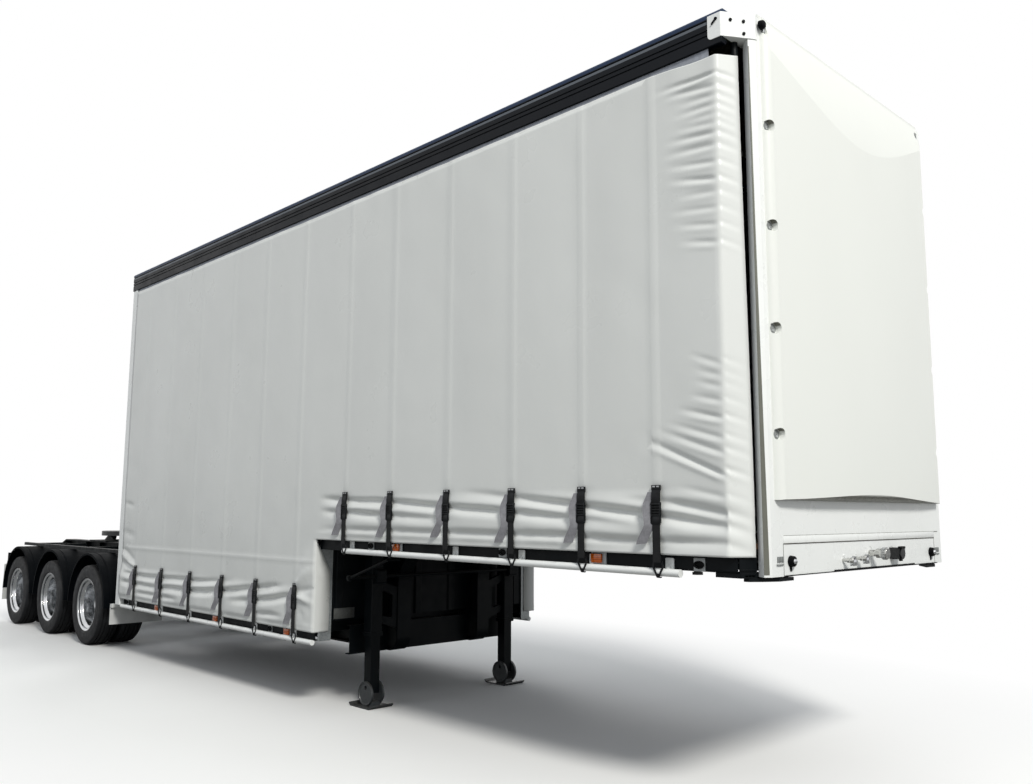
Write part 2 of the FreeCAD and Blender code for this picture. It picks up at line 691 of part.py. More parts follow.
def skid_plate():
    """The coupler plate, its front edge thinned to a ramp and its rear corners rounded."""
    ramped = side_prism([
        (SKID_FRONT_S, NECK_BOTTOM, 0),
        (SKID_REAR_S, NECK_BOTTOM, 0),
        (SKID_REAR_S, SKID_BOTTOM, 0),
        (SKID_FRONT_S + SKID_NOSE, SKID_BOTTOM, 0),
        (SKID_FRONT_S, SKID_BOTTOM + 0.7 * SKID_THICK, 0),
    ], -SKID_HALF, SKID_HALF)
    outline = plan_prism([
        (SKID_FRONT_S, -SKID_HALF, 0),
        (SKID_REAR_S, -SKID_HALF, 60),
        (SKID_REAR_S, SKID_HALF, 60),
        (SKID_FRONT_S, SKID_HALF, 0),
    ], SKID_BOTTOM - 1, NECK_BOTTOM + 1)
    bore = upright(KINGPIN_FLANGE_R, KINGPIN_S, 0, SKID_BOTTOM - 1, NECK_BOTTOM + 1)
    return ramped.common(outline).cut(bore)


def kingpin():
    """The coupling pin, turned with its waisted neck and mounting flange."""
    neck_top = SKID_BOTTOM - KINGPIN_LONG + KINGPIN_HEAD + KINGPIN_NECK
    return spun([
        (0, SKID_BOTTOM - KINGPIN_LONG, 0),
        (KINGPIN_HEAD_R, SKID_BOTTOM - KINGPIN_LONG, 0),
        (KINGPIN_HEAD_R, SKID_BOTTOM - KINGPIN_LONG + KINGPIN_HEAD, 0),
        (KINGPIN_R, SKID_BOTTOM - KINGPIN_LONG + KINGPIN_HEAD, 0),
        (KINGPIN_R, neck_top, 0),
        (KINGPIN_HEAD_R, neck_top, 0),
        (KINGPIN_HEAD_R, SKID_BOTTOM, 0),
        (KINGPIN_FLANGE_R, SKID_BOTTOM, 0),
        (KINGPIN_FLANGE_R, NECK_BOTTOM, 0),
        (0, NECK_BOTTOM, 0),
    ], KINGPIN_S, 0)


# ================================================================ body
def corner_direction():
    """Unit steps along the cut-off corner, from the front wall outwards, and inwards from its face."""
    run = FreeCAD.Vector(CORNER_S, CORNER_CUT, 0)
    run.normalize()
    return run, FreeCAD.Vector(run.y, -run.x, 0)


def corner_post():
    """Right-hand front corner post, one face flat to the cut-off corner."""
    run, inward = corner_direction()
    edge = FreeCAD.Vector(0, WALL_HALF, 0)
    outer = edge + run * POST_FACE
    back = outer + inward * POST_DEEP
    return plan_prism([
        (0, -WALL_REACH, 0),
        (edge.x, -edge.y, 3),
        (outer.x, -outer.y, 3),
        (back.x, -back.y, 0),
        (back.x, -WALL_REACH, 0),
    ], NECK_BOTTOM, CAP_BOTTOM)


def front_wall():
    """Flat front wall above the coupling panel."""
    return block(0, WALL_THICK, -WALL_REACH, WALL_REACH, UPPER_DECK, HEIGHT - ROOF_THICK - ROOF_BELOW)


def coupling_panel():
    """The panel below the wall that carries the air and electric couplings, recessed for each of them."""
    panel = block(0, WALL_THICK, -WALL_REACH, WALL_REACH, NECK_BOTTOM, UPPER_DECK)
    for y, z, radius in COUPLINGS:
        panel = panel.cut(forward_rod(radius + 6, y, z, -1, 2))
    return panel


def fairing():
    """Moulded fairing on the front wall: crowned across, rolled under, faded into the roof, pocketed."""
    bottom = UPPER_DECK + FAIRING_ABOVE
    top = HEIGHT - FAIRING_BELOW
    crest = top - FAIRING_ROOF
    half = FAIRING_HALF
    beyond = FAIRING_CROWN + 4
    chin = 0.25 * FAIRING_CROWN
    side_wire = Part.Wire([
        Part.makeLine(at(0, -half, bottom), at(-chin, -half, bottom)),
        Part.Arc(at(-chin, -half, bottom), at(-0.8 * FAIRING_CROWN, -half, bottom + 0.3 * FAIRING_LIP),
                 at(-beyond, -half, bottom + FAIRING_LIP)).toShape(),
        Part.makeLine(at(-beyond, -half, bottom + FAIRING_LIP), at(-beyond, -half, crest)),
        Part.Arc(at(-beyond, -half, crest), at(-0.83 * FAIRING_CROWN, -half, top - 0.38 * FAIRING_ROOF),
                 at(0, -half, top)).toShape(),
        Part.makeLine(at(0, -half, top), at(0, -half, bottom)),
    ])
    side = Part.Face(side_wire).extrude(FreeCAD.Vector(0, 2 * half, 0))
    under = bottom - 1
    shoulder = half - FAIRING_ROLL
    rolled = half - 0.26 * FAIRING_ROLL
    plan_wire = Part.Wire([
        Part.makeLine(at(0, half, under), at(0, -half, under)),
        Part.Arc(at(0, -half, under), at(-0.65 * FAIRING_EDGE, -rolled, under),
                 at(-FAIRING_EDGE, -shoulder, under)).toShape(),
        Part.Arc(at(-FAIRING_EDGE, -shoulder, under), at(-FAIRING_CROWN, 0, under),
                 at(-FAIRING_EDGE, shoulder, under)).toShape(),
        Part.Arc(at(-FAIRING_EDGE, shoulder, under), at(-0.65 * FAIRING_EDGE, rolled, under),
                 at(0, half, under)).toShape(),
    ])
    shell = side.common(Part.Face(plan_wire).extrude(FreeCAD.Vector(0, 0, top - under + 1)))
    pockets = []
    for index in range(POCKETS):
        z = bottom + POCKET_FIRST + index * POCKET_PITCH
        if z + POCKET_R < top:
            for way in (-1, 1):
                pockets.append(forward_rod(POCKET_R, way * (half - POCKET_EDGE), z, -FAIRING_CROWN - 1, -8))
    return shell.cut(Part.makeCompound(pockets))


def roof_rail():
    """Right-hand roof rail, an extrusion with grooves along its outer face."""
    face = -(HALF + ROOF_RAIL_OUT)
    lip = 25.0
    bar = section_prism([
        (face, CURTAIN_TOP, 6),
        (face, HEIGHT, 22),
        (face + ROOF_RAIL_WIDE, HEIGHT, 0),
        (face + ROOF_RAIL_WIDE, HEIGHT - lip, 0),
        (face + ROOF_RAIL_WEB, HEIGHT - lip, 8),
        (face + ROOF_RAIL_WEB, CURTAIN_TOP, 4),
    ], CORNER_S, BODY_REAR_S)
    grooves = []
    for up in (62, 92, 150):
        z = CURTAIN_TOP + up
        grooves.append(block(CORNER_S - 1, BODY_REAR_S + 1, face - 1, face + 6, z, z + 10))
    return bar.cut(Part.makeCompound(grooves))


def roof_corner():
    """Right-hand cap of the cut-off corner: a block with a plate that wraps on to the roof rail."""
    run, inward = corner_direction()
    bottom = CAP_BOTTOM
    top = CAP_TOP
    rail_face = HALF + ROOF_RAIL_OUT
    plate_face = rail_face + CORNER_CAP_PLATE
    first = FreeCAD.Vector(0, WALL_HALF, 0) - inward * CORNER_CAP_PLATE
    bend = first + run * ((plate_face - first.y) / run.y)
    body = plan_prism([
        (0, -WALL_REACH, 0),
        (0, -WALL_REACH - CORNER_CAP_EDGE, 0),
        (first.x, -first.y, 0),
        (bend.x, -bend.y, 10),
        (CORNER_S + 20, -plate_face, 0),
        (CORNER_S + 20, -rail_face, 0),
        (CORNER_S, -rail_face, 0),
        (CORNER_S, -WALL_REACH, 0),
    ], bottom, top)
    wing = side_prism([
        (CORNER_S + 20, top, 0),
        (CORNER_S + CORNER_CAP_WING, top, 0),
        (CORNER_S + CORNER_CAP_WING, bottom, 25),
        (CORNER_S + 20, bottom, 0),
    ], -plate_face, -rail_face)
    return fused([body, wing])


def roof():
    """The roof sheet between the rails, on pressed bows."""
    reach = HALF + ROOF_RAIL_OUT - ROOF_RAIL_WIDE
    top = HEIGHT - ROOF_BELOW
    under = top - ROOF_THICK
    sheet = block(CORNER_S, BODY_REAR_S, -reach, reach, under, top)
    nose = block(0, CORNER_S, -WALL_REACH, WALL_REACH, under, top)
    bows = []
    for s in spaced(CORNER_S, BODY_REAR_S, ROOF_BOWS + 2)[1:-1]:
        bows.append(side_prism([(s - 40, under, 0), (s + 40, under, 0), (s + 22, under - BOW_DEEP, 6),
                                (s - 22, under - BOW_DEEP, 6)], -reach, reach))
    return fused([sheet, nose] + bows)


def rear_post():
    """Right-hand rear corner post, its outer corners bent."""
    return plan_prism([
        (CURTAIN_END_S, -HALF, POST_BEND),
        (BODY_REAR_S, -HALF, POST_BEND),
        (BODY_REAR_S, -HALF + REAR_POST_WIDE, 0),
        (CURTAIN_END_S, -HALF + REAR_POST_WIDE, 0),
    ], LOWER_DECK - LOWER_RAVE_DEEP, CURTAIN_TOP)


def rear_wall():
    """Fixed rear wall under the roof, with tapered swages pressed out across it."""
    reach = HALF - REAR_POST_WIDE
    top = HEIGHT - ROOF_THICK - ROOF_BELOW
    wall = block(BODY_REAR_S - WALL_THICK, BODY_REAR_S, -reach, reach, LOWER_DECK, top)
    swages = []
    pitch = (top - LOWER_DECK) / REAR_SWAGES
    for index in range(REAR_SWAGES):
        middle = LOWER_DECK + pitch * (index + 0.5)
        swages.append(side_prism([
            (BODY_REAR_S, middle - 100, 0),
            (BODY_REAR_S + 12, middle - 84, 4),
            (BODY_REAR_S + 12, middle + 84, 4),
            (BODY_REAR_S, middle + 100, 0),
        ], -reach + 120, reach - 120))
    return fused([wall] + swages)


def curtain():
    """Right-hand curtain: the stepped side, its return round the front corner and its return at the drop."""
    side = side_prism([
        (CURTAIN_S, CURTAIN_TOP, 0),
        (CURTAIN_END_S, CURTAIN_TOP, 0),
        (CURTAIN_END_S, LOWER_HEM, 0),
        (DROP_CORNER_S, LOWER_HEM, 0),
        (DROP_CORNER_S, UPPER_HEM, 0),
        (CURTAIN_S, UPPER_HEM, 0),
    ], -HALF, -HALF + CURTAIN_THICK)
    run, inward = corner_direction()
    bend = FreeCAD.Vector(CURTAIN_S, HALF, 0)
    end = bend - run * FRONT_RETURN
    inner_end = end + inward * CURTAIN_THICK
    front = plan_prism([
        (bend.x, -bend.y, 0),
        (end.x, -end.y, 0),
        (inner_end.x, -inner_end.y, 0),
        (bend.x, -bend.y + CURTAIN_THICK * 1.6, 0),
    ], UPPER_HEM, CURTAIN_TOP - RETURN_BELOW)
    drop = block(DROP_CORNER_S, DROP_CORNER_S + CURTAIN_THICK, -HALF, -HALF + CURTAIN_RETURN,
                 LOWER_HEM, UPPER_HEM)
    return fused([side, front, drop])


def curtain_pole():
    """Right-hand upright pole that the front edge of the curtain is wound on."""
    run, inward = corner_direction()
    bend = FreeCAD.Vector(CURTAIN_S, HALF, 0)
    end = bend - run * (FRONT_RETURN - POLE_R) + inward * (CURTAIN_THICK + POLE_R + 0.3)
    return upright(POLE_R, end.x, -end.y, UPPER_DECK, CAP_BOTTOM)


def rail_height(row, s):
    """Height of a row's tie rail at one place along it."""
    rear, fall, first, last = row[1:5]
    return rear - fall * (last - s) / (last - first)


def strap_places(row):
    """Where a row's straps lie along the side."""
    first, last = row[5:7]
    return [first + (last - first) * share for share in row[8]]


def straps():
    """Right-hand webbing straps with their over-centre buckles, one solid each."""
    pieces = []
    half = STRAP_WIDE / 2
    for row in TIE_ROWS:
        hem = row[0]
        for s in strap_places(row):
            web = block(s - half, s + half, -HALF - STRAP_THICK, -HALF,
                        rail_height(row, s) - 5, hem + STRAP_ABOVE)
            buckle = side_prism([
                (s - half - 6, hem + 150, 4),
                (s + half + 6, hem + 150, 4),
                (s + half + 6, hem + 150 + BUCKLE_LONG, 4),
                (s - half - 6, hem + 150 + BUCKLE_LONG, 4),
            ], -HALF - STRAP_THICK - BUCKLE_DEEP, -HALF - STRAP_THICK)
            pieces.append(fused([web, buckle]))
    return pieces


def tie_rails():
    """Right-hand tie rails that the straps hook under, on brackets bolted to the raves."""
    pieces = []
    half = 28.0
    plate = 6.0
    for row in TIE_ROWS:
        first, last, beside = row[3], row[4], row[7]
        parts = [slanted_rod(TIE_RAIL_R, at(first, -TIE_RAIL_Y, rail_height(row, first)),
                             at(last, -TIE_RAIL_Y, rail_height(row, last)))]
        for s in strap_places(row):
            s += beside
            z = rail_height(row, s)
            parts.append(side_prism([
                (s - half, z + 78, 8),
                (s + half, z + 78, 8),
                (s + half, z - 8, 8),
                (s - half, z - 8, 8),
            ], -RAVE_FACE - plate, -RAVE_FACE))
            parts.append(section_prism([
                (-RAVE_FACE, z + 60, 0),
                (-TIE_RAIL_Y, z + 8, 0),
                (-TIE_RAIL_Y, z - 8, 0),
                (-RAVE_FACE, z - 8, 0),
            ], s - 8, s + 8))
        pieces.append(fused(parts))
    return pieces


def drop_post():
    """Right-hand corner post behind the curtain at the drop, bent from plate."""
    return plan_prism([
        (DROP_CORNER_S + CURTAIN_THICK, -DECK_HALF, POST_BEND / 3),
        (DROP_CORNER_S + CURTAIN_THICK, -HALF + CURTAIN_RETURN + 25, 0),
        (STEP_S, -HALF + CURTAIN_RETURN + 25, 0),
        (STEP_S, -DECK_HALF, 0),
    ], LOWER_DECK - LOWER_RAVE_DEEP, UPPER_UNDER)


# ================================================================ front details
def air_couplings():
    """Couplings on the panel: each a stem with its collar and sealing face, then the lidded socket."""
    pieces = []
    for y, z, radius in COUPLINGS[:-1]:
        reach = COUPLING_REACH * (0.6 if radius < 20 else 1.0)
        pieces.append(bored([
            (2, 0, 0),
            (2, 0.6 * radius, 0),
            (-0.35 * reach, 0.6 * radius, 0),
            (-0.4 * reach, 0.85 * radius, 2),
            (-0.6 * reach, 0.85 * radius, 2),
            (-0.7 * reach, radius, 3),
            (-reach, radius, 3),
            (-reach, 0, 0),
        ], y, z))
    y, z, radius = COUPLINGS[-1]
    body = section_prism([
        (y - radius, z - radius, 6),
        (y + radius, z - radius, 6),
        (y + radius, z + radius, 6),
        (y - radius, z + radius, 6),
    ], -60, 0)
    lid = forward_rod(0.9 * radius, y, z, -70, -60)
    pieces.append(fused([body, lid, forward_rod(0.5 * radius, y, z, 0, 2)]))
    return pieces


def front_lamps():
    """Small round lamps near the lower corners of the coupling panel."""
    pieces = []
    for way in (-1, 1):
        pieces.append(bored([
            (0, 0, 0), (0, 24, 0), (-12, 24, 2), (-16, 19, 2), (-30, 15, 6), (-30, 0, 0),
        ], way * (WALL_HALF - 183), NECK_BOTTOM + 75))
    return pieces


# ================================================================ landing gear
def leg_outer():
    """Right-hand outer box of the landing leg, with its head plate and a collar at its lower end."""
    inner = LEG_INNER + 2 * SLIDE_GAP
    tube = rounded_box(LEG_S, -LEG_Y, LEG_BOX, LEG_BOX, LEG_CORNER, LEG_SPLIT, NECK_BOTTOM)
    collar = rounded_box(LEG_S, -LEG_Y, LEG_BOX + 12, LEG_BOX + 12, LEG_CORNER, LEG_SPLIT, LEG_SPLIT + 30)
    head = rounded_box(LEG_S, -LEG_Y, LEG_BOX + 70, LEG_BOX + 50, LEG_CORNER, NECK_BOTTOM - 12, NECK_BOTTOM)
    hollow = rounded_box(LEG_S, -LEG_Y, inner, inner, 2, LEG_SPLIT - 1, NECK_BOTTOM - 40)
    return fused([tube, collar, head]).cut(hollow)


def leg_inner():
    """Right-hand sliding inner leg, its foot end pierced by the pin of the shoe."""
    return rounded_box(LEG_S, -LEG_Y, LEG_INNER, LEG_INNER, 2, CHEEK_R + FOOT_PLATE, LEG_SPLIT + LEG_LAP)


def leg_foot():
    """Right-hand rocker shoe: two rimmed round cheeks, pierced for the pin, on a plate with turned ends."""
    ground = side_prism([
        (LEG_S - FOOT_LONG / 2, 22, 0),
        (LEG_S - FOOT_LONG / 2 + 22, 0, 20),
        (LEG_S + FOOT_LONG / 2 - 22, 0, 20),
        (LEG_S + FOOT_LONG / 2, 22, 0),
        (LEG_S + FOOT_LONG / 2 - 7, 29, 0),
        (LEG_S + FOOT_LONG / 2 - 26, FOOT_PLATE, 10),
        (LEG_S - FOOT_LONG / 2 + 26, FOOT_PLATE, 10),
        (LEG_S - FOOT_LONG / 2 + 7, 29, 0),
    ], -LEG_Y - FOOT_WIDE / 2, -LEG_Y + FOOT_WIDE / 2)
    centre = CHEEK_R + FOOT_PLATE
    saddle = block(LEG_S - 60, LEG_S + 60, -LEG_Y - LEG_INNER / 2 - 1, -LEG_Y + LEG_INNER / 2 + 1,
                   FOOT_PLATE, FOOT_PLATE + 30)
    parts = [ground, saddle]
    for side in (-1, 1):
        face = LEG_INNER / 2 + 0.3
        cheek = turned([
            (side * face, 0, 0),
            (side * face, CHEEK_R, 0),
            (side * (face + CHEEK_THICK + 8), CHEEK_R, 3),
            (side * (face + CHEEK_THICK + 8), CHEEK_R - CHEEK_RIM, 3),
            (side * (face + CHEEK_THICK), CHEEK_R - CHEEK_RIM - 4, 3),
            (side * (face + CHEEK_THICK), 0, 0),
        ], LEG_S, centre)
        cheek.translate(FreeCAD.Vector(0, -LEG_Y, 0))
        eye = rod(17, LEG_S, -LEG_Y + side * face, -LEG_Y + side * (face + CHEEK_THICK + 1), centre + 45)
        parts.append(cheek.cut(eye))
    below = block(LEG_S - FOOT_LONG, LEG_S + FOOT_LONG, -LEG_Y - FOOT_WIDE, -LEG_Y + FOOT_WIDE, -CHEEK_R, 0)
    return fused(parts).cut(below)


def leg_braces():
    """Outrigger channel over each leg head, a gusset down to the drop and a diagonal strut."""
    half = LEG_BOX / 2
    outrigger = section_prism([
        (-RAVE_FACE + RAVE_FLANGE, UPPER_UNDER - UPPER_MEMBER_DEEP, 0),
        (-RAVE_FACE + RAVE_FLANGE, NECK_BOTTOM + 30, 0),
        (-LEG_Y - half - 60, NECK_BOTTOM, 0),
        (-BEAM_OUTER, NECK_BOTTOM, 0),
        (-BEAM_OUTER, UPPER_UNDER - UPPER_MEMBER_DEEP, 0),
    ], LEG_S - 60, LEG_S + 60)
    tie = section_prism([
        (-LEG_Y + half, NECK_BOTTOM - 250, 0),
        (-BEAM_OUTER, NECK_BOTTOM - 310, 0),
        (-BEAM_OUTER, LEG_SPLIT + 40, 0),
        (-LEG_Y + half, LEG_SPLIT + 100, 0),
        (-LEG_Y + half, LEG_SPLIT + 160, 0),
        (-BEAM_OUTER - 50, LEG_SPLIT + 130, 20),
        (-BEAM_OUTER - 50, NECK_BOTTOM - 370, 20),
        (-LEG_Y + half, NECK_BOTTOM - 320, 0),
    ], LEG_S - 20, LEG_S + 20)
    return [outrigger, tie]


def leg_drive():
    """Gear heads on the front of each leg, the shaft between them, and the crank folded forward."""
    front = LEG_S - LEG_BOX / 2
    middle = front - DRIVE_LONG / 2
    half = DRIVE_WIDE / 2
    parts = []
    for way in (-1, 1):
        parts.append(side_prism([
            (front - DRIVE_LONG, DRIVE_Z - DRIVE_HIGH / 2, 20),
            (front, DRIVE_Z - DRIVE_HIGH / 2, 0),
            (front, DRIVE_Z + DRIVE_HIGH / 2, 0),
            (front - DRIVE_LONG, DRIVE_Z + DRIVE_HIGH / 2, 20),
        ], way * LEG_Y - half, way * LEG_Y + half))
        parts.append(rod(24, middle, way * (LEG_Y - half - 12), way * (LEG_Y - half), DRIVE_Z))
    parts.append(rod(SHAFT_R, middle, -LEG_Y + half, LEG_Y - half, DRIVE_Z))
    pivot_y = -LEG_Y - half - CRANK_REACH
    parts.append(rod(SHAFT_R, middle, pivot_y - 20, -LEG_Y - half, DRIVE_Z))
    knee = at(middle, pivot_y, DRIVE_Z)
    grip = at(middle - CRANK_LONG, pivot_y, DRIVE_Z + CRANK_RISE)
    parts.append(slanted_rod(CRANK_R, knee, grip))
    parts.append(rod(CRANK_R, middle - CRANK_LONG + 6, pivot_y - 8, pivot_y + 110, DRIVE_Z + CRANK_RISE))
    parts.append(rod(24, middle, pivot_y - 14, pivot_y + 14, DRIVE_Z))
    return fused(parts)


# ================================================================ wheels
def tyres(s, way):
    """Twin tyres, each a ring with full walls, square shoulders and its beads on the rim seats."""
    half = TYRE_WIDE / 2
    bead = RIM_WIDE / 2 - 14
    rings = []
    for middle in (WHEEL_MID - TWIN_PITCH / 2, WHEEL_MID + TWIN_PITCH / 2):
        rings.append(turned([
            (middle - bead, RIM_SEAT + 0.2, 0),
            (middle + bead, RIM_SEAT + 0.2, 0),
            (middle + bead + 2, RIM_LIP + 6, 0),
            (middle + half, (RIM_SEAT + TYRE_R) / 2, 60),
            (middle + half - 9, TYRE_R - 4, TYRE_SHOULDER),
            (middle, TYRE_R, 0),
            (middle - half + 9, TYRE_R - 4, TYRE_SHOULDER),
            (middle - half, (RIM_SEAT + TYRE_R) / 2, 60),
            (middle - bead - 2, RIM_LIP + 6, 0),
        ], s, TYRE_R, way))
    return rings


def hand_holes(s, way):
    """The ring of round holes through both discs."""
    holes = []
    start = way * (WHEEL_MID - 3 * DISC_THICK)
    end = way * (WHEEL_MID + 3 * DISC_THICK)
    for index in range(HAND_HOLES):
        angle = 2 * math.pi * (index + 0.5) / HAND_HOLES
        across = HAND_HOLE_PCR * math.cos(angle)
        up = HAND_HOLE_PCR * math.sin(angle)
        holes.append(rod(HAND_HOLE_R, s + across, start, end, TYRE_R + up))
    return Part.makeCompound(holes)


def rim(s, way, side):
    """One dished wheel: side +1 is the outer one, its disc deep inside it, -1 the inner one."""
    lip = TWIN_PITCH / 2 + RIM_WIDE / 2
    back = TWIN_PITCH / 2 - RIM_WIDE / 2
    under = RIM_SEAT - RIM_PLATE
    # out from the mid-plane of the twins, radius, rounding
    profile = [
        (0.2, DISC_BORE_R, 0),
        (DISC_THICK, DISC_BORE_R, 0),
        (DISC_THICK, RIM_WELL - 52, 20),
        (DISC_THICK + 26, RIM_WELL - RIM_PLATE, 12),
        (lip - 50, RIM_WELL - RIM_PLATE, 15),
        (lip - 34, under, 10),
        (lip - 6, under + 2, 6),
        (lip, RIM_LIP, 2),
        (lip - 9, RIM_LIP, 2),
        (lip - 12, RIM_SEAT, 0),
        (lip - 46, RIM_SEAT, 0),
        (lip - 62, RIM_WELL, 0),
        (back + 50, RIM_WELL, 0),
        (back + 36, RIM_SEAT, 0),
        (back + 10, RIM_SEAT, 0),
        (back + 8, RIM_LIP, 0),
        (back, RIM_LIP, 0),
        (back + 2, under, 0),
        (back + 22, under - 4, 0),
        (back + 28, RIM_WELL + 8, 0),
        (back + 8, RIM_WELL - 6, 8),
        (0.2, RIM_WELL - 44, 20),
    ]
    placed = [(WHEEL_MID + side * out, radius, rounding) for out, radius, rounding in profile]
    return turned(placed, s, TYRE_R, way).cut(hand_holes(s, way))


def hub(s, way):
    """Hub with its flange, oil cap and the brake drum behind it."""
    outer = WHEEL_MID + DISC_THICK
    inner = WHEEL_MID - DISC_THICK
    sleeve = HUB_BORE + 20
    return turned([
        (WHEEL_MID - HUB_REACH, HUB_BORE, 0),
        (outer + 92, HUB_BORE, 0),
        (outer + 92, 0, 0),
        (outer + 128, 0, 0),
        (outer + 128, HUB_CAP_R, 8),
        (outer + 84, HUB_CAP_R + 8, 0),
        (outer + 80, HUB_BARREL_R - 6, 4),
        (outer + 20, HUB_BARREL_R, 6),
        (outer, HUB_BARREL_R, 0),
        (inner, HUB_BARREL_R, 0),
        (inner, HUB_FLANGE_R, 0),
        (inner - 16, HUB_FLANGE_R + 10, 10),
        (inner - 20, DRUM_R, 6),
        (inner - DRUM_LONG, DRUM_R, 0),
        (inner - DRUM_LONG, DRUM_R - DRUM_WALL, 0),
        (inner - 40, DRUM_R - DRUM_WALL, 8),
        (inner - 40, HUB_BARREL_R - 14, 8),
        (WHEEL_MID - HUB_REACH + 100, HUB_BARREL_R - 14, 0),
        (WHEEL_MID - HUB_REACH + 100, sleeve, 0),
        (WHEEL_MID - HUB_REACH, sleeve, 0),
    ], s, TYRE_R, way)


# ================================================================ axles and suspension
def brake_gear(s, way):
    """On one side of an axle: its dust plate, the cam shaft, the slack adjuster and the air chamber."""
    dust_face = WHEEL_MID - DISC_THICK - DRUM_LONG - DUST_GAP
    beam_end = WHEEL_MID - HUB_REACH - 10
    sleeve = HUB_BORE + 35
    dust = turned([
        (beam_end - DUST_PLATE, 0, 0),
        (beam_end - DUST_PLATE, sleeve + 15, 0),
        (dust_face - DUST_PLATE, sleeve + 15, 0),
        (dust_face - DUST_PLATE, DRUM_R - 6, 0),
        (dust_face, DRUM_R - 6, 0),
        (dust_face, sleeve, 0),
        (beam_end, sleeve, 0),
        (beam_end, 0, 0),
    ], s, TYRE_R, way)
    cam_s = s + CAMSHAFT_BEHIND
    slack_top = TYRE_R + SLACK_LONG
    half = SLACK_THICK / 2
    cam = rod(CAMSHAFT_R, cam_s, way * (CHAMBER_Y - half), way * (dust_face - DUST_PLATE), TYRE_R)
    slack = fused([
        rod(SLACK_R, cam_s, way * CHAMBER_Y - half, way * CHAMBER_Y + half, TYRE_R),
        rod(SLACK_R * 0.7, cam_s, way * CHAMBER_Y - half, way * CHAMBER_Y + half, slack_top),
        block(cam_s - 18, cam_s + 18, way * CHAMBER_Y - half, way * CHAMBER_Y + half, TYRE_R, slack_top),
    ])
    front = s - CHAMBER_LONG + 20
    chamber = bored([
        (front, 0, 0),
        (front, CHAMBER_R, 20),
        (front + 0.48 * CHAMBER_LONG, CHAMBER_R, 0),
        (front + 0.48 * CHAMBER_LONG, CHAMBER_R + 6, 0),
        (front + 0.56 * CHAMBER_LONG, CHAMBER_R + 6, 0),
        (front + 0.56 * CHAMBER_LONG, CHAMBER_R - 10, 0),
        (s + 20, CHAMBER_R - 10, 14),
        (s + 20, PUSHROD_R, 0),
        (cam_s, PUSHROD_R, 0),
        (cam_s, 0, 0),
    ], way * CHAMBER_Y, slack_top)
    bracket = block(s - 30, s, way * CHAMBER_Y - 25, way * CHAMBER_Y + 25, TYRE_R + AXLE_R - 15,
                    slack_top - CHAMBER_R / 2)
    return [dust, cam, slack, chamber, bracket]


def axle(s):
    """Round axle beam with its spindles and the brake gear of both ends."""
    beam_end = WHEEL_MID - HUB_REACH - 10
    beam = rod(AXLE_R, s, -beam_end, beam_end, TYRE_R)
    spindle = rod(SPINDLE_R, s, -WHEEL_MID - 105, WHEEL_MID + 105, TYRE_R)
    return fused([beam, spindle] + brake_gear(s, -1) + brake_gear(s, 1))


def suspension_arms():
    """Trailing arms clamped over each axle, from hanger bolt to air spring seat."""
    pieces = []
    pin_z = TYRE_R + ARM_PIN_UP
    over = TYRE_R + AXLE_R
    seat = TYRE_R + SEAT_UP
    for index in range(AXLES):
        s = axle_place(index)
        bag = s + BAG_BEHIND
        for y in (-BEAM_Y, BEAM_Y):
            arm = side_prism([
                (s - HANGER_LEAD - 30, pin_z - 38, 30),
                (s - HANGER_LEAD - 30, pin_z + 38, 30),
                (s - 60, over + 60, 40),
                (s + 90, over + 60, 40),
                (bag - 85, seat + SEAT_PLATE, 30),
                (bag + 85, seat + SEAT_PLATE, 5),
                (bag + 85, seat, 5),
                (bag - 95, seat, 30),
                (s + 70, over + 1, 20),
                (s - 70, over + 1, 20),
            ], y - ARM_WIDE / 2, y + ARM_WIDE / 2)
            clamp = block(s - 60, s + 60, y - 60, y + 60, TYRE_R - AXLE_R - 20, over + 1)
            bow = block(s - 50, s + 50, y - 60, y + 60, over + 52, over + 72)
            hole = rod(AXLE_R, s, y - 70, y + 70, TYRE_R)
            eye = rod(ARM_PIN_R + 0.3, s - HANGER_LEAD, y - 70, y + 70, pin_z)
            pieces.append(fused([arm, bow, clamp.cut(hole)]).cut(eye))
    return pieces


def hangers():
    """Fabricated hangers under the tail, one pair ahead of each axle, with the arm bolts through them."""
    pieces = []
    pin_z = TYRE_R + ARM_PIN_UP
    foot_z = pin_z - HANGER_FOOT
    half = HANGER_WIDE / 2
    slot_half = ARM_WIDE / 2 + ARM_GAP
    for index in range(AXLES):
        s = axle_place(index) - HANGER_LEAD
        for y in (-BEAM_Y, BEAM_Y):
            body = side_prism([
                (s - 110, TAIL_BOTTOM, 0),
                (s + 110, TAIL_BOTTOM, 0),
                (s + 60, foot_z, 40),
                (s - 60, foot_z, 40),
            ], y - half, y + half)
            slot = block(s - 130, s + 130, y - slot_half, y + slot_half, foot_z - 60, pin_z + 100)
            bolt = rod(ARM_PIN_R, s, y - half - 7, y + half + 7, pin_z)
            pieces.append(fused([body.cut(slot), bolt]))
    return pieces


def air_bags():
    """Rolling-lobe air springs between the arm seats and the beams, each on its tapered piston."""
    pieces = []
    seat = TYRE_R + SEAT_UP + SEAT_PLATE
    lobe = seat + PISTON_HIGH
    for index in range(AXLES):
        for y in (-BEAM_Y, BEAM_Y):
            pieces.append(spun([
                (0, seat, 0),
                (PISTON_R - 12, seat, 0),
                (PISTON_R, lobe, 0),
                (PISTON_R + 4, lobe - 22, 8),
                (BAG_R, lobe - 22, 16),
                (BAG_R, TAIL_BOTTOM - 28, 20),
                (BAG_R - 25, TAIL_BOTTOM - 10, 0),
                (BAG_R - 25, TAIL_BOTTOM, 0),
                (0, TAIL_BOTTOM, 0),
            ], axle_place(index) + BAG_BEHIND, y))
    return pieces


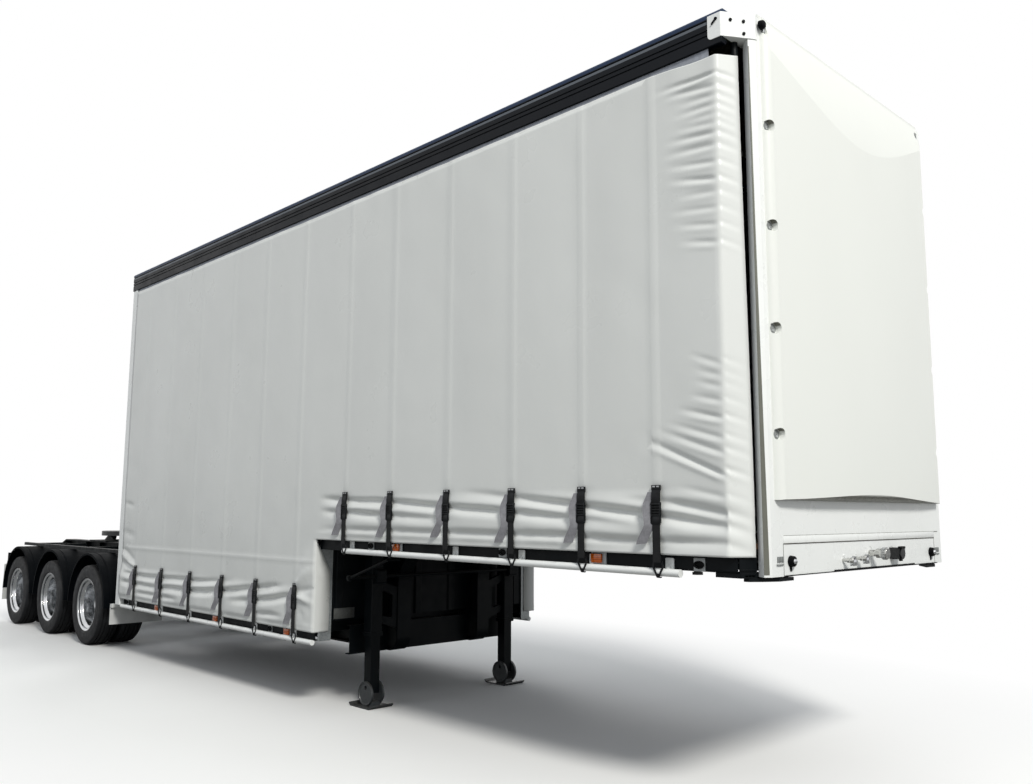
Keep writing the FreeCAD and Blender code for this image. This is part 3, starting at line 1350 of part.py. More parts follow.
def shock_absorbers():
    """Telescopic dampers from a pin on each arm up to a pin on the web of its beam."""
    pieces = []
    middle = BEAM_INNER - SHOCK_SPACE - SHOCK_R
    foot_z = TYRE_R + AXLE_R + 10
    head_z = TAIL_BOTTOM + SHOCK_HEAD
    for index in range(AXLES):
        foot_s = axle_place(index) + SHOCK_FOOT
        head_s = foot_s - SHOCK_LEAN
        for way in (-1, 1):
            foot = at(foot_s, way * middle, foot_z)
            head = at(head_s, way * middle, head_z)
            joint = foot + (head - foot) * 0.45
            pieces.append(fused([
                slanted_rod(SHOCK_R - 6, foot, joint),
                slanted_rod(SHOCK_R, joint, head),
                rod(SHOCK_EYE_R, foot_s, way * middle - 24, way * middle + 24, foot_z),
                rod(SHOCK_EYE_R, head_s, way * middle - 24, way * middle + 24, head_z),
                rod(SHOCK_PIN_R, foot_s, way * middle, way * (BEAM_Y - ARM_WIDE / 2), foot_z),
                rod(SHOCK_PIN_R, head_s, way * middle, way * (BEAM_Y - BEAM_WEB / 2), head_z),
            ]))
    return pieces


def mudguards():
    """Right-hand half-round guards, one over each pair of twins, with a bead and turned-in lips."""
    pieces = []
    y0 = -HALF + GUARD_INSET
    y1 = y0 + GUARD_WIDE
    skin = GUARD_R - GUARD_THICK
    lip = GUARD_R - GUARD_LIP
    # across, radius, rounding
    profile = [
        (y0, GUARD_R, 6),
        (y0, lip, 0),
        (y0 + GUARD_THICK, lip, 0),
        (y0 + GUARD_THICK, skin, 2),
        (y0 + 60, skin, 0),
        (y0 + 66, skin - 6, 0),
        (y0 + 84, skin - 6, 0),
        (y0 + 90, skin, 0),
        (y1 - GUARD_THICK, skin, 0),
        (y1 - GUARD_THICK, lip, 0),
        (y1, lip, 0),
        (y1, GUARD_R, 0),
        (y0 + 90, GUARD_R, 0),
        (y0 + 84, GUARD_R - 6, 0),
        (y0 + 66, GUARD_R - 6, 0),
        (y0 + 60, GUARD_R, 0),
    ]
    for index in range(AXLES):
        s = axle_place(index)
        wire = rounded_wire(profile, lambda p: at(s - p.y, p.x, TYRE_R))
        pieces.append(Part.Face(wire).revolve(at(s, 0, TYRE_R), FreeCAD.Vector(0, -1, 0), 180))
    return pieces


def guard_rail():
    """Right-hand rail along the tops of the guards, on arms from the tail beam."""
    outer = -HALF + GUARD_RAIL_INSET
    inner = outer + GUARD_RAIL_WIDE
    web = -BEAM_Y - BEAM_WEB / 2
    bottom = TYRE_R + GUARD_R
    top = bottom + GUARD_RAIL_DEEP
    rail = section_prism([
        (outer, bottom, 0),
        (inner, bottom, 0),
        (inner, top, 6),
        (outer, top, 6),
    ], AXLE_S - 560, TAIL_S - 30)
    arms = []
    places = [axle_place(index) - GUARD_ARM_AHEAD for index in range(AXLES)]
    for s in places + [axle_place(AXLES - 1) + GUARD_ARM_BEHIND]:
        arms.append(block(s - 25, s + 25, inner, web, bottom + 4, top - 4))
    return fused([rail] + arms)


def mudflaps():
    """Right-hand flaps: one behind the rise on its own hanger, one below the tail bar."""
    outer = -HALF + FLAP_INSET
    inner = outer + FLAP_WIDE
    flap_s = RISE_S + FLAP_BEHIND
    flap_top = LOW_BOTTOM + FLAP_ABOVE
    front = block(flap_s, flap_s + FLAP_THICK, outer, inner, flap_top - FLAP_LONG, flap_top)
    hanger = block(flap_s - 34, flap_s, outer, -BEAM_Y - BEAM_WEB / 2, flap_top - 40, flap_top)
    rear_s = TAIL_S - TAIL_BAR / 2
    rear = block(rear_s, rear_s + FLAP_THICK, outer, inner, REAR_FLAP_CLEAR, TAIL_BOTTOM - TAIL_BAR_DROP)
    return [fused([front, hanger]), rear]


# ================================================================ tail
def lamp_places():
    """Where the round lamps sit in the tail bar, on the right-hand side, as (y, z)."""
    z = TAIL_BOTTOM - TAIL_BAR_DROP + TAIL_BAR_DEEP / 2
    return [(-HALF + 140 + LAMP_PITCH * index, z) for index in range(LAMPS)]


def tail_bar():
    """Cross bar at the tail, recessed for its lamps."""
    reach = HALF - 50
    bottom = TAIL_BOTTOM - TAIL_BAR_DROP
    bar = block(TAIL_S - TAIL_BAR, TAIL_S, -reach, reach, bottom, bottom + TAIL_BAR_DEEP)
    for y, z in lamp_places():
        for side in (y, -y):
            bar = bar.cut(forward_rod(LAMP_R, side, z, TAIL_S - LAMP_RECESS, TAIL_S + 1))
    return bar


def tail_lamps():
    """Round lamps in the recesses of the tail bar."""
    pieces = []
    for y, z in lamp_places():
        pieces.append(bored([
            (TAIL_S - LAMP_RECESS, 0, 0),
            (TAIL_S - LAMP_RECESS, LAMP_R - 0.5, 0),
            (TAIL_S - 3, LAMP_R - 0.5, 0),
            (TAIL_S, LAMP_R - 5, 0),
            (TAIL_S, 0, 0),
        ], y, z))
    return pieces


def turntable_base():
    """Mounting plate across the tail beams, with a pedestal and pivot pin at each side."""
    face = TAIL_TOP + BASE_THICK
    reach = BEAM_OUTER + 20
    parts = [block(TURNTABLE_S - BASE_HALF_LONG, TURNTABLE_S + BASE_HALF_LONG, -reach, reach, TAIL_TOP, face)]
    for way in (-1, 1):
        parts.append(side_prism([
            (TURNTABLE_S - 170, face, 0),
            (TURNTABLE_S + 170, face, 0),
            (TURNTABLE_S + 38, PIVOT_Z + PEDESTAL_TOP_R, 25),
            (TURNTABLE_S - 38, PIVOT_Z + PEDESTAL_TOP_R, 25),
        ], way * PEDESTAL_Y, way * (PEDESTAL_Y + PEDESTAL_WIDE)))
        pin_end = PEDESTAL_Y - LUG_GAP - LUG_WIDE
        parts.append(rod(PIVOT_R, TURNTABLE_S, way * pin_end, way * PEDESTAL_Y, PIVOT_Z))
    return fused(parts)


def turntable():
    """Top plate on its lugs: throat open to the rear, ramped beside it, skirted and ribbed below."""
    bottom = TURNTABLE_TOP - TURNTABLE_THICK
    plate = spun([
        (0, bottom, 0),
        (TURNTABLE_R - 18, bottom, 0),
        (TURNTABLE_R - 18, bottom - SKIRT_DEEP, 0),
        (TURNTABLE_R, bottom - SKIRT_DEEP, 0),
        (TURNTABLE_R, TURNTABLE_TOP, 6),
        (0, TURNTABLE_TOP, 0),
    ], TURNTABLE_S, 0)
    neck = KINGPIN_R + THROAT_GAP
    throat = plan_prism([
        (TURNTABLE_S - neck, -neck, neck * 0.98),
        (TURNTABLE_S + 200, -neck, 60),
        (TURNTABLE_S + 600, -THROAT_MOUTH, 0),
        (TURNTABLE_S + 600, THROAT_MOUTH, 0),
        (TURNTABLE_S + 200, neck, 60),
        (TURNTABLE_S - neck, neck, neck * 0.98),
    ], bottom - SKIRT_DEEP - 1, TURNTABLE_TOP + 1)
    rear = TURNTABLE_S + TURNTABLE_R
    ramp = side_prism([
        (rear - RAMP_LONG, TURNTABLE_TOP + 1, 0),
        (rear + 1, TURNTABLE_TOP + 1, 0),
        (rear + 1, TURNTABLE_TOP - 0.75 * TURNTABLE_THICK, 0),
        (rear - RAMP_LONG, TURNTABLE_TOP, 0),
    ], -TURNTABLE_R, TURNTABLE_R)
    ribs = []
    for s in (TURNTABLE_S - 140, TURNTABLE_S + 140):
        ribs.append(block(s - 8, s + 8, -PEDESTAL_Y + 60, PEDESTAL_Y - 60, bottom - SKIRT_DEEP, bottom))
    parts = [plate] + ribs
    for way in (-1, 1):
        inner = PEDESTAL_Y - LUG_GAP - LUG_WIDE
        lug = side_prism([
            (TURNTABLE_S - 60, bottom, 0),
            (TURNTABLE_S + 60, bottom, 0),
            (TURNTABLE_S + 30, PIVOT_Z - 30, 22),
            (TURNTABLE_S - 30, PIVOT_Z - 30, 22),
        ], way * inner, way * (PEDESTAL_Y - LUG_GAP))
        eye = rod(PIVOT_R + PIVOT_GAP, TURNTABLE_S, way * (inner - 1), way * PEDESTAL_Y, PIVOT_Z)
        parts.append(lug.cut(eye))
    return fused(parts).cut(throat).cut(ramp)


def air_tanks():
    """Air reservoirs with domed ends, hung across between the low beams on saddles."""
    pieces = []
    stations = spaced(LOWER_FIRST_S, LOWER_LAST_S, LOWER_MEMBERS)
    under = LOWER_UNDER - LOWER_MEMBER_DEEP
    half = TANK_LONG / 2
    for s in stations[LOWER_MEMBERS // 2:LOWER_MEMBERS // 2 + 2]:
        middle = s + MEMBER_WIDE / 2
        centre = under - 10 - TANK_R
        shell = turned([(-half, 0, 0), (-half, TANK_R, TANK_DOME), (half, TANK_R, TANK_DOME), (half, 0, 0)],
                       middle, centre)
        saddles = []
        for y in (-half + 120, half - 120):
            saddles.append(block(middle - 24, middle + 24, y - 20, y + 20, centre + TANK_R - 8, under))
        pieces.append(fused([shell] + saddles))
    return pieces


def build():
    os.makedirs("parts", exist_ok=True)
    save("main_beams", pair(main_beam()))
    upper = cross_members(UPPER_FIRST_S, UPPER_LAST_S, UPPER_MEMBERS, UPPER_UNDER, UPPER_MEMBER_DEEP)
    lower = cross_members(LOWER_FIRST_S, LOWER_LAST_S, LOWER_MEMBERS, LOWER_UNDER, LOWER_MEMBER_DEEP)
    save("cross_members", upper + lower + step_sills())
    save("deck_floors", [upper_floor(), lower_floor()])
    save("side_raves", pair(rave(CORNER_S + 25, DROP_CORNER_S, UPPER_DECK, UPPER_RAVE_DEEP),
                            rave(LOWER_DECK_S, CURTAIN_END_S, LOWER_DECK, LOWER_RAVE_DEEP)))
    save("step_bulkhead", bulkhead())
    save("front_frame", front_frame())
    save("skid_plate", skid_plate())
    save("kingpin", kingpin())
    save("front_posts", pair(corner_post()))
    save("front_wall", front_wall())
    save("coupling_panel", coupling_panel())
    save("front_fairing", fairing())
    save("roof_rails", pair(roof_rail()))
    save("roof_corners", pair(roof_corner()))
    save("roof", roof())
    save("rear_posts", pair(rear_post()))
    save("rear_wall", rear_wall())
    save("side_curtain_right", curtain())
    save("side_curtain_left", mirrored(curtain()))
    save("curtain_poles", pair(curtain_pole()))
    save("curtain_straps", pair(*straps()))
    save("tie_rails", pair(*tie_rails()))
    save("drop_posts", pair(drop_post()))
    save("air_couplings", air_couplings())
    save("front_lamps", front_lamps())
    save("landing_legs_outer", pair(leg_outer()))
    save("landing_legs_inner", pair(leg_inner()))
    save("landing_feet", pair(leg_foot()))
    save("landing_braces", pair(*leg_braces()))
    save("landing_drive", leg_drive())
    save("axles", [axle(axle_place(index)) for index in range(AXLES)])
    for index in range(AXLES):
        s = axle_place(index)
        for name, way in (("right", -1), ("left", 1)):
            tag = str(index + 1) + "_" + name
            save("tyres_" + tag, tyres(s, way))
            save("wheels_" + tag, [rim(s, way, 1), rim(s, way, -1), hub(s, way)])
    save("suspension_arms", suspension_arms())
    save("suspension_hangers", hangers())
    save("air_bags", air_bags())
    save("shock_absorbers", shock_absorbers())
    save("mudguards", pair(*mudguards()))
    save("guard_rails", pair(guard_rail()))
    save("mudflaps", pair(*mudflaps()))
    save("tail_bar", tail_bar())
    save("tail_lamps", pair(*tail_lamps()))
    save("turntable_base", turntable_base())
    save("turntable", turntable())
    save("air_tanks", air_tanks())


build()
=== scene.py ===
"""Looks of a drop-deck curtain-sided semi trailer: cloth, webbing, tyres, fittings, finishes and a pale studio."""
import math
from itertools import product

import bmesh
import bpy
from bpy.props import FloatProperty, FloatVectorProperty, IntProperty, PointerProperty
from mathutils import Matrix, Vector, noise


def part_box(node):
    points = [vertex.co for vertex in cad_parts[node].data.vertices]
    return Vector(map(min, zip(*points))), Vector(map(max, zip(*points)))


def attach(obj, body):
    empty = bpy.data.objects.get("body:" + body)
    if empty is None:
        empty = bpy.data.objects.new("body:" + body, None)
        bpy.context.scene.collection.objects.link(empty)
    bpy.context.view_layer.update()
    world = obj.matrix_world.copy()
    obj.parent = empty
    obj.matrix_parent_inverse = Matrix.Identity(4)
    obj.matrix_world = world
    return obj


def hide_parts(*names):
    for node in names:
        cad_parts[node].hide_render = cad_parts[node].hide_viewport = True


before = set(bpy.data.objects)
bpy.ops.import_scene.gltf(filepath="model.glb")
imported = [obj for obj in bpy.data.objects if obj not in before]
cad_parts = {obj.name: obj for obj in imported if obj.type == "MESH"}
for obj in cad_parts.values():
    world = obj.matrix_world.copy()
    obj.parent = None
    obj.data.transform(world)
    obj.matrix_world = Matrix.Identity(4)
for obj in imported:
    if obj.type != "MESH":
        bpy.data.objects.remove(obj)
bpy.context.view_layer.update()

bl_info = {
    "name": "Curtain-sided trailer looks",
    "version": (1, 0, 0),
    "blender": (4, 5, 0),
    "location": "3D View > Sidebar > Trailer",
    "description": "Dresses the packed trailer with its curtains, straps, tyres, fittings and finishes",
    "category": "Object",
}

# ---------------------------------------------------------------- sizes read from the frame, in metres
AXLES = (1, 2, 3)
SIDES = (("right", -1), ("left", 1))
FRONT_X = 6.11                                          # face of the front wall
CLOTH_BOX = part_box("side_curtain_right")
HALF = -CLOTH_BOX[0].y
HEM_LOW = CLOTH_BOX[0].z
HEM_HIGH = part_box("cross_members")[1].z - 0.041
REAR_S = FRONT_X - CLOTH_BOX[0].x
CURTAIN_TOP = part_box("roof_rails")[0].z
RAVE_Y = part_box("side_raves")[0].y
TYRE_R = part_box("tyres_1_right")[1].z / 2
AXLE_X = [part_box(f"tyres_{axle}_right")[0].x + TYRE_R for axle in AXLES]
WHEEL_FACE = -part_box("wheels_1_right")[0].y


def place(s, y=0.0, z=0.0):
    """The point s metres behind the front wall, y to the left, z up."""
    return Vector((FRONT_X - s, y, z))


def smooth(value, low, high):
    """Runs from 0 at low to 1 at high, with no corner at either end."""
    t = min(1.0, max(0.0, (value - low) / (high - low)))
    return t * t * (3.0 - 2.0 * t)


# ================================================================ colours and nodes
BAND = 2.0 / 6.283                      # a wave texture at this scale has a band a metre, to two percent


def hex_rgba(code):
    """An sRGB hex value as linear colour."""
    parts = [int(code[i:i + 2], 16) / 255 for i in (1, 3, 5)]
    return tuple(c / 12.92 if c <= 0.04045 else ((c + 0.055) / 1.055) ** 2.4 for c in parts) + (1.0,)


def shade(colour, share, lift=0.0):
    """The same colour made darker or lighter."""
    return tuple(share * c + lift for c in colour[:3]) + (1.0,)


def per(millimetres):
    """Texture scale, per metre, of a pattern that repeats every so many millimetres."""
    return 1000.0 / millimetres


def live(source):
    """The socket to link from: a node stands for its first output in use."""
    return next(out for out in source.outputs if out.enabled) if isinstance(source, bpy.types.Node) else source


def add_node(tree, kind, inputs=None, **settings):
    """Adds a shader node with its settings; an input takes a value, a socket or a node."""
    node = tree.nodes.new("ShaderNode" + kind)
    for name, value in settings.items():
        setattr(node, name, value)
    for name, value in (inputs or {}).items():
        if isinstance(value, (bpy.types.Node, bpy.types.NodeSocket)):
            tree.links.new(live(value), node.inputs[name])
        else:
            node.inputs[name].default_value = value
    return node


class Finish:
    """A material in the making: its nodes, its shader, and where each point lies on the trailer."""

    def __init__(self, name, **uniform):
        """What is uniform over the surface is set on the shader's own sockets."""
        self.material = bpy.data.materials.new(name)
        self.material.use_nodes = True
        self.tree = self.material.node_tree
        self.shader = self.tree.nodes["Principled BSDF"]
        for socket, value in uniform.items():
            self.shader.inputs[socket.replace("_", " ")].default_value = value
        self.where = self.add("TexCoord").outputs["Object"]

    def add(self, kind, inputs=None, **settings):
        """Adds a node to this material."""
        return add_node(self.tree, kind, inputs, **settings)

    def lead(self, source, socket="Base Color"):
        """Leads a node or socket into the shader."""
        self.tree.links.new(live(source), self.shader.inputs[socket])

    def blotches(self, millimetres, low, high, detail=3.0, stretch=(1.0, 1.0, 1.0)):
        """Colour that drifts between two tones in soft clouds; stretch turns the clouds into streaks."""
        at = self.add("Mapping", {"Vector": self.where, "Scale": stretch})
        cloud = self.add("TexNoise", {"Vector": at, "Scale": per(millimetres), "Detail": detail})
        ramp = self.add("ValToRGB", {"Fac": cloud})
        for stop, position, tone in zip(ramp.color_ramp.elements, (0.3, 0.7), (low, high)):
            stop.position, stop.color = position, tone
        return ramp.outputs["Color"]

    def gloss(self, millimetres, low, high):
        """Roughness that drifts in soft patches, as handling, rain and dust leave it."""
        cloud = self.add("TexNoise", {"Vector": self.where, "Scale": per(millimetres), "Detail": 4.0})
        self.lead(self.add("MapRange", {"Value": cloud, "From Min": 0.3, "From Max": 0.7, "To Min": low,
                                        "To Max": high}), "Roughness")

    def relief(self, height, depth):
        """Raises the surface by a height factor, so many millimetres deep."""
        self.lead(self.add("Bump", {"Height": height, "Distance": depth / 1000.0}), "Normal")

    def weave(self, warp, weft, operation, depth):
        """Threads both ways in relief: warp and weft are the millimetres between them."""
        threads = [self.add("TexWave", {"Vector": self.where, "Scale": BAND * per(size)},
                            bands_direction=way).outputs["Fac"] for size, way in ((warp, "X"), (weft, "Z"))]
        self.relief(self.add("Math", dict(enumerate(threads)), operation=operation), depth)

    def dusted(self, colour, dust, reach):
        """Road dust that settles on faces that look up, broken up by a noise."""
        up = self.add("SeparateXYZ", {"Vector": self.add("NewGeometry").outputs["Normal"]}).outputs["Z"]
        cloud = self.add("TexNoise", {"Vector": self.where, "Scale": per(180), "Detail": 6.0})
        amount = self.add("Math", {0: up, 1: cloud}, operation="MULTIPLY")
        amount = self.add("MapRange", {"Value": amount, "From Min": 0.1, "From Max": 0.7, "To Min": 0.0,
                                       "To Max": reach})
        return self.add("Mix", {"Factor": amount, "A": colour, "B": dust}, data_type="RGBA")


def clouded(name, low, high, patch, gloss, grain=None, detail=3.0, dust=None, **uniform):
    """The build that most finishes share: two tones in patches, dust, drifting gloss and a fine grain.

    patch is in millimetres; gloss is its patch and range; grain is a texture, its size, settings and depth.
    """
    coat = Finish(name, **uniform)
    base = coat.blotches(patch, low, high, detail)
    coat.lead(coat.dusted(base, *dust) if dust else base)
    coat.gloss(*gloss)
    if grain:
        kind, size, settings, depth = grain
        coat.relief(coat.add(kind, {"Vector": coat.where, "Scale": per(size), **settings}), depth)
    return coat.material


# ================================================================ finishes, each named for what it is
def gloss_enamel(name, colour, rough=0.24):
    """Sprayed two-pack enamel on sheet metal: glossy, with an orange peel 2 to 4 mm from crest to crest."""
    return clouded(name, shade(colour, 0.97), colour, 420, (160, rough, rough + 0.12),
                   ("TexNoise", 3, {"Detail": 1.0}, 0.012), IOR=1.5, Specular_IOR_Level=0.4)


def chassis_enamel(colour):
    """Satin chassis enamel over welded steel: dark, a little uneven, with road dust on what faces up."""
    return clouded("satin_chassis_enamel", shade(colour, 0.72), colour, 240, (90, 0.34, 0.56),
                   ("TexNoise", 4, {"Detail": 2.0}, 0.06), detail=5.0, dust=(hex_rgba("#6b665c"), 0.22),
                   IOR=1.5, Specular_IOR_Level=0.12)


def tyre_rubber(colour):
    """Carbon-black tyre rubber: matt, a little grey where it has scuffed, with a fine moulded grain."""
    return clouded("carbon_black_tyre_rubber", colour, shade(colour, 1.5, 0.002), 120, (60, 0.55, 0.78),
                   ("TexNoise", 2.5, {"Detail": 3.0}, 0.15), detail=6.0, dust=(hex_rgba("#4e4a45"), 0.2),
                   IOR=1.52, Specular_IOR_Level=0.4)


def cast_iron(colour):
    """Black-painted casting with a greased working face: coarse sand-cast grain under a wet sheen."""
    return clouded("greased_casting", shade(colour, 0.6), colour, 70, (40, 0.35, 0.62),
                   ("TexNoise", 5, {"Detail": 5.0}, 0.4), detail=6.0, dust=(hex_rgba("#3b352c"), 0.4),
                   IOR=1.48, Coat_Weight=0.35, Coat_Roughness=0.25)


def moulded_plastic(name, colour, rough=0.5, grain=2.0):
    """Moulded polyethylene, ABS or hard rubber: coloured through, with a fine leather-like mould grain."""
    return clouded(name, shade(colour, 0.85), colour, 200, (80, rough, rough + 0.12),
                   ("TexVoronoi", grain, {}, 0.08), dust=(hex_rgba("#57534c"), 0.04),
                   IOR=1.51, Specular_IOR_Level=0.05)


def rubber_sheet(name, colour):
    """Moulded rubber: softly matt, with faint flow marks and scuffs."""
    return clouded(name, shade(colour, 0.84), colour, 150, (70, 0.48, 0.66),
                   ("TexNoise", 30, {"Detail": 4.0}, 0.3), detail=5.0, IOR=1.5)


def bare_metal(name, colour, rough):
    """Machined or plated metal: chrome caps, zinc-plated bolts and aluminium plate, finely scratched."""
    return clouded(name, shade(colour, 0.82), colour, 14, (9, rough, rough + 0.14), detail=5.0, Metallic=1.0)


def black_steel():
    """Black-passivated pressed steel: dark and satin, rubbed lighter where hands and rails touch it."""
    return clouded("black_passivated_steel", hex_rgba("#08090b"), hex_rgba("#15181b"), 20, (12, 0.38, 0.55),
                   detail=5.0, Metallic=0.3, Specular_IOR_Level=0.3)


def pvc_curtain(colour):
    """PVC-coated polyester tarpaulin: calendered smooth, so it shines softly and its weave just shows through."""
    cloth = Finish("pvc_coated_polyester", Specular_IOR_Level=0.45, IOR=1.53)
    cloth.lead(cloth.blotches(700, shade(colour, 0.95), colour, stretch=(1.0, 1.0, 0.25)))
    cloth.gloss(350, 0.26, 0.38)
    # threads lie 0.9 mm apart and are drawn 10 mm apart, so that they just show
    cloth.weave(10, 10, "MAXIMUM", 0.04)
    return cloth.material


def woven_webbing(name, colour):
    """Woven polyester webbing: matt, ribbed across its width, with a soft sheen off its fibres."""
    belt = Finish(name, IOR=1.5, Sheen_Weight=0.06, Sheen_Roughness=0.4, Roughness=0.75, Specular_IOR_Level=0.3)
    belt.lead(belt.blotches(25, colour, shade(colour, 1.3, 0.002)))
    # ribs of the weave are 1.6 mm apart and are drawn 8 mm apart
    belt.weave(14, 8, "MULTIPLY", 0.5)
    return belt.material


def gelcoat(colour):
    """Gelcoated glass-fibre moulding: bright and glossy, with the slow waviness of a hand-laid panel."""
    coat = Finish("white_gelcoat", IOR=1.5, Specular_IOR_Level=0.35)
    coated = coat.blotches(900, shade(colour, 0.98), colour, stretch=(1.0, 1.0, 0.4))
    # faces that look down turn dark grey, most of all under the fairing's rolled bottom edge: partly bare glass fibre
    # with no gelcoat, partly painted shade
    down = coat.add("SeparateXYZ", {"Vector": coat.add("NewGeometry").outputs["Normal"]}).outputs["Z"]
    raw = coat.add("MapRange", {"Value": down, "From Min": -0.42, "From Max": -0.62})
    shaded_laminate = coat.blotches(12, hex_rgba("#4c4b44"), hex_rgba("#85847a"), detail=5.0)
    coat.lead(coat.add("Mix", {"Factor": raw, "A": coated, "B": shaded_laminate}, data_type="RGBA"))
    coat.gloss(300, 0.34, 0.42)
    coat.relief(coat.add("TexNoise", {"Vector": coat.where, "Scale": per(400), "Detail": 0.0}), 0.6)
    return coat.material


def powder_coat(colour):
    """Powder-coated aluminium extrusion: dark and semi-gloss, with a painted highlight and a painted blue sky
    reflection along its top.
    """
    coat = Finish("powder_coated_extrusion", IOR=1.5, Specular_IOR_Level=0.12)
    base = coat.blotches(300, shade(colour, 0.8), colour, stretch=(0.1, 1.0, 1.0))
    up = coat.add("SeparateXYZ", {"Vector": coat.where}).outputs["Z"]
    # a painted highlight lies from 4.234 to 4.250 m above the ground, then a dark joint, then the cap, painted blue as
    # a sky reflection
    share = coat.add("MapRange", {"Value": up, "From Min": 4.234, "From Max": 4.300})
    painted_highlight_and_reflection = coat.add("ValToRGB", {"Fac": share})
    painted_highlight_and_reflection.color_ramp.interpolation = "CONSTANT"
    stops = painted_highlight_and_reflection.color_ramp.elements
    stops[0].color = hex_rgba("#62676d")
    stops[1].color, stops[1].position = hex_rgba("#293750"), 0.47
    stops.new(0.25).color = hex_rgba("#15191f")
    above = coat.add("Math", {0: up, 1: 4.234}, operation="GREATER_THAN")
    coat.lead(coat.add("Mix", {"Factor": above, "A": base, "B": painted_highlight_and_reflection}, data_type="RGBA"))
    coat.gloss(120, 0.30, 0.44)
    # draw lines are finer than a millimetre and are drawn 6 mm apart
    drawn = coat.add("Mapping", {"Vector": coat.where, "Scale": (0.002, 1.0, 1.0)})
    coat.relief(coat.add("TexNoise", {"Vector": drawn, "Scale": per(6), "Detail": 2.0}), 0.05)
    return coat.material


def galvanised_steel(colour):
    """Hot-dip galvanised steel: dull zinc with spangles about 12 mm across."""
    zinc = Finish("hot_dip_galvanised_steel", Metallic=0.85)
    grain = zinc.add("TexVoronoi", {"Vector": zinc.where, "Scale": per(12)}).outputs["Color"]
    grey = zinc.add("SeparateColor", {"Color": grain}).outputs["Red"]
    zinc.lead(zinc.add("Mix", {"Factor": grey, "A": shade(colour, 0.7), "B": colour}, data_type="RGBA"))
    zinc.lead(zinc.add("MapRange", {"Value": grey, "To Min": 0.36, "To Max": 0.56}), "Roughness")
    return zinc.material


def deck_plywood(colour):
    """Hardwood-faced container plywood: boards of grain that run along the deck, scuffed and matt."""
    deck = Finish("hardwood_deck_plywood", IOR=1.46)
    along = deck.add("Mapping", {"Vector": deck.where, "Scale": (0.05, 1.0, 1.0)})
    grain = deck.add("TexNoise", {"Vector": along, "Scale": per(9), "Detail": 5.0})
    # boards are 140 mm wide with 3 mm joints
    boards = deck.add("TexBrick", {
        "Vector": deck.where, "Scale": 1.0, "Mortar Size": 0.0015, "Brick Width": 2.4, "Row Height": 0.14,
        "Color1": colour, "Color2": shade(colour, 0.8), "Mortar": hex_rgba("#1c140d")})
    deck.lead(deck.add("Mix", {"Factor": grain, "A": boards, "B": shade(colour, 0.55)}, data_type="RGBA"))
    deck.gloss(200, 0.55, 0.75)
    deck.relief(grain, 0.3)
    return deck.material


def polished_wheel(colour, drum):
    """Forged aluminium polished bright on a lathe, so its marks run round the axle; the iron drum inside is black."""
    wheel = Finish("polished_forged_aluminium")
    where = wheel.add("SeparateXYZ", {"Vector": wheel.where}).outputs
    # every axle's wheels are measured from their own centre, which comes round once a pitch
    half_pitch = (AXLE_X[0] - AXLE_X[1]) / 2
    along = wheel.add("Math", {0: where["X"], 1: AXLE_X[0] - half_pitch, 2: AXLE_X[0] + half_pitch},
                      operation="WRAP")
    along = wheel.add("Math", {0: along, 1: AXLE_X[0]}, operation="SUBTRACT")
    up = wheel.add("Math", {0: where["Z"], 1: TYRE_R}, operation="SUBTRACT")
    across = wheel.add("Math", {0: where["Y"]}, operation="ABSOLUTE")
    spot = wheel.add("CombineXYZ", {"X": along, "Y": 0.0, "Z": up})
    radius = wheel.add("VectorMath", {0: spot}, operation="LENGTH")
    lathe = wheel.add("Math", {0: radius, 1: across}, operation="ADD")
    turned = wheel.add("TexNoise", {"W": lathe, "Scale": per(1.5), "Detail": 2.0}, noise_dimensions="1D")
    # the drum lies more than 282 mm inboard of the hub cap, within 225 mm of the axle
    inboard = wheel.add("Math", {0: across, 1: WHEEL_FACE - 0.282}, operation="LESS_THAN")
    close = wheel.add("Math", {0: radius, 1: 0.225}, operation="LESS_THAN")
    iron = wheel.add("Math", {0: inboard, 1: close}, operation="MULTIPLY")
    haze = wheel.blotches(60, shade(colour, 0.86), colour)
    wheel.lead(wheel.add("Mix", {"Factor": iron, "A": haze, "B": drum}, data_type="RGBA"))
    wheel.lead(wheel.add("Math", {0: 1.0, 1: iron}, operation="SUBTRACT"), "Metallic")
    rough = wheel.add("MapRange", {"Value": turned, "From Min": 0.3, "From Max": 0.7, "To Min": 0.10,
                                   "To Max": 0.24})
    rough = wheel.add("Math", {0: rough, 1: iron}, operation="MAXIMUM")
    wheel.lead(wheel.add("Math", {0: rough, 1: 0.6}, operation="MINIMUM"), "Roughness")
    wheel.relief(turned, 0.02)
    return wheel.material


def coupling_metal(bright, moulded, split):
    """Plated air couplings, and the black moulded socket to the left of the split, on one material."""
    metal = Finish("plated_couplings_and_socket")
    across = metal.add("SeparateXYZ", {"Vector": metal.where}).outputs["Y"]
    socket = metal.add("Math", {0: across, 1: split}, operation="GREATER_THAN")
    plated = metal.blotches(14, shade(bright, 0.75), bright, detail=5.0)
    metal.lead(metal.add("Mix", {"Factor": socket, "A": plated, "B": moulded}, data_type="RGBA"))
    metal.lead(metal.add("Math", {0: 1.0, 1: socket}, operation="SUBTRACT"), "Metallic")
    metal.lead(metal.add("MapRange", {"Value": socket, "To Min": 0.18, "To Max": 0.45}), "Roughness")
    return metal.material


def lamp_lens(name, colour):
    """Acrylic lens, coloured through, with prism ribs 12 mm apart behind a polished face."""
    lens = Finish(name, IOR=1.49, Roughness=0.12, Coat_Weight=0.6, Coat_Roughness=0.03)
    ribs = lens.add("TexWave", {"Vector": lens.where, "Scale": BAND * per(12)}, bands_direction="Z").outputs["Fac"]
    lens.lead(lens.add("Mix", {"Factor": ribs, "A": shade(colour, 0.55), "B": colour}, data_type="RGBA"))
    lens.relief(ribs, 0.3)
    return lens.material


# ================================================================ meshes
def paint(faces, material):
    """Gives faces one of the piece's materials, by its number."""
    for face in faces:
        face.material_index = material


def made_of(result, kind):
    """The vertices, edges or faces among what an operator made."""
    return [item for item in result if isinstance(item, kind)]


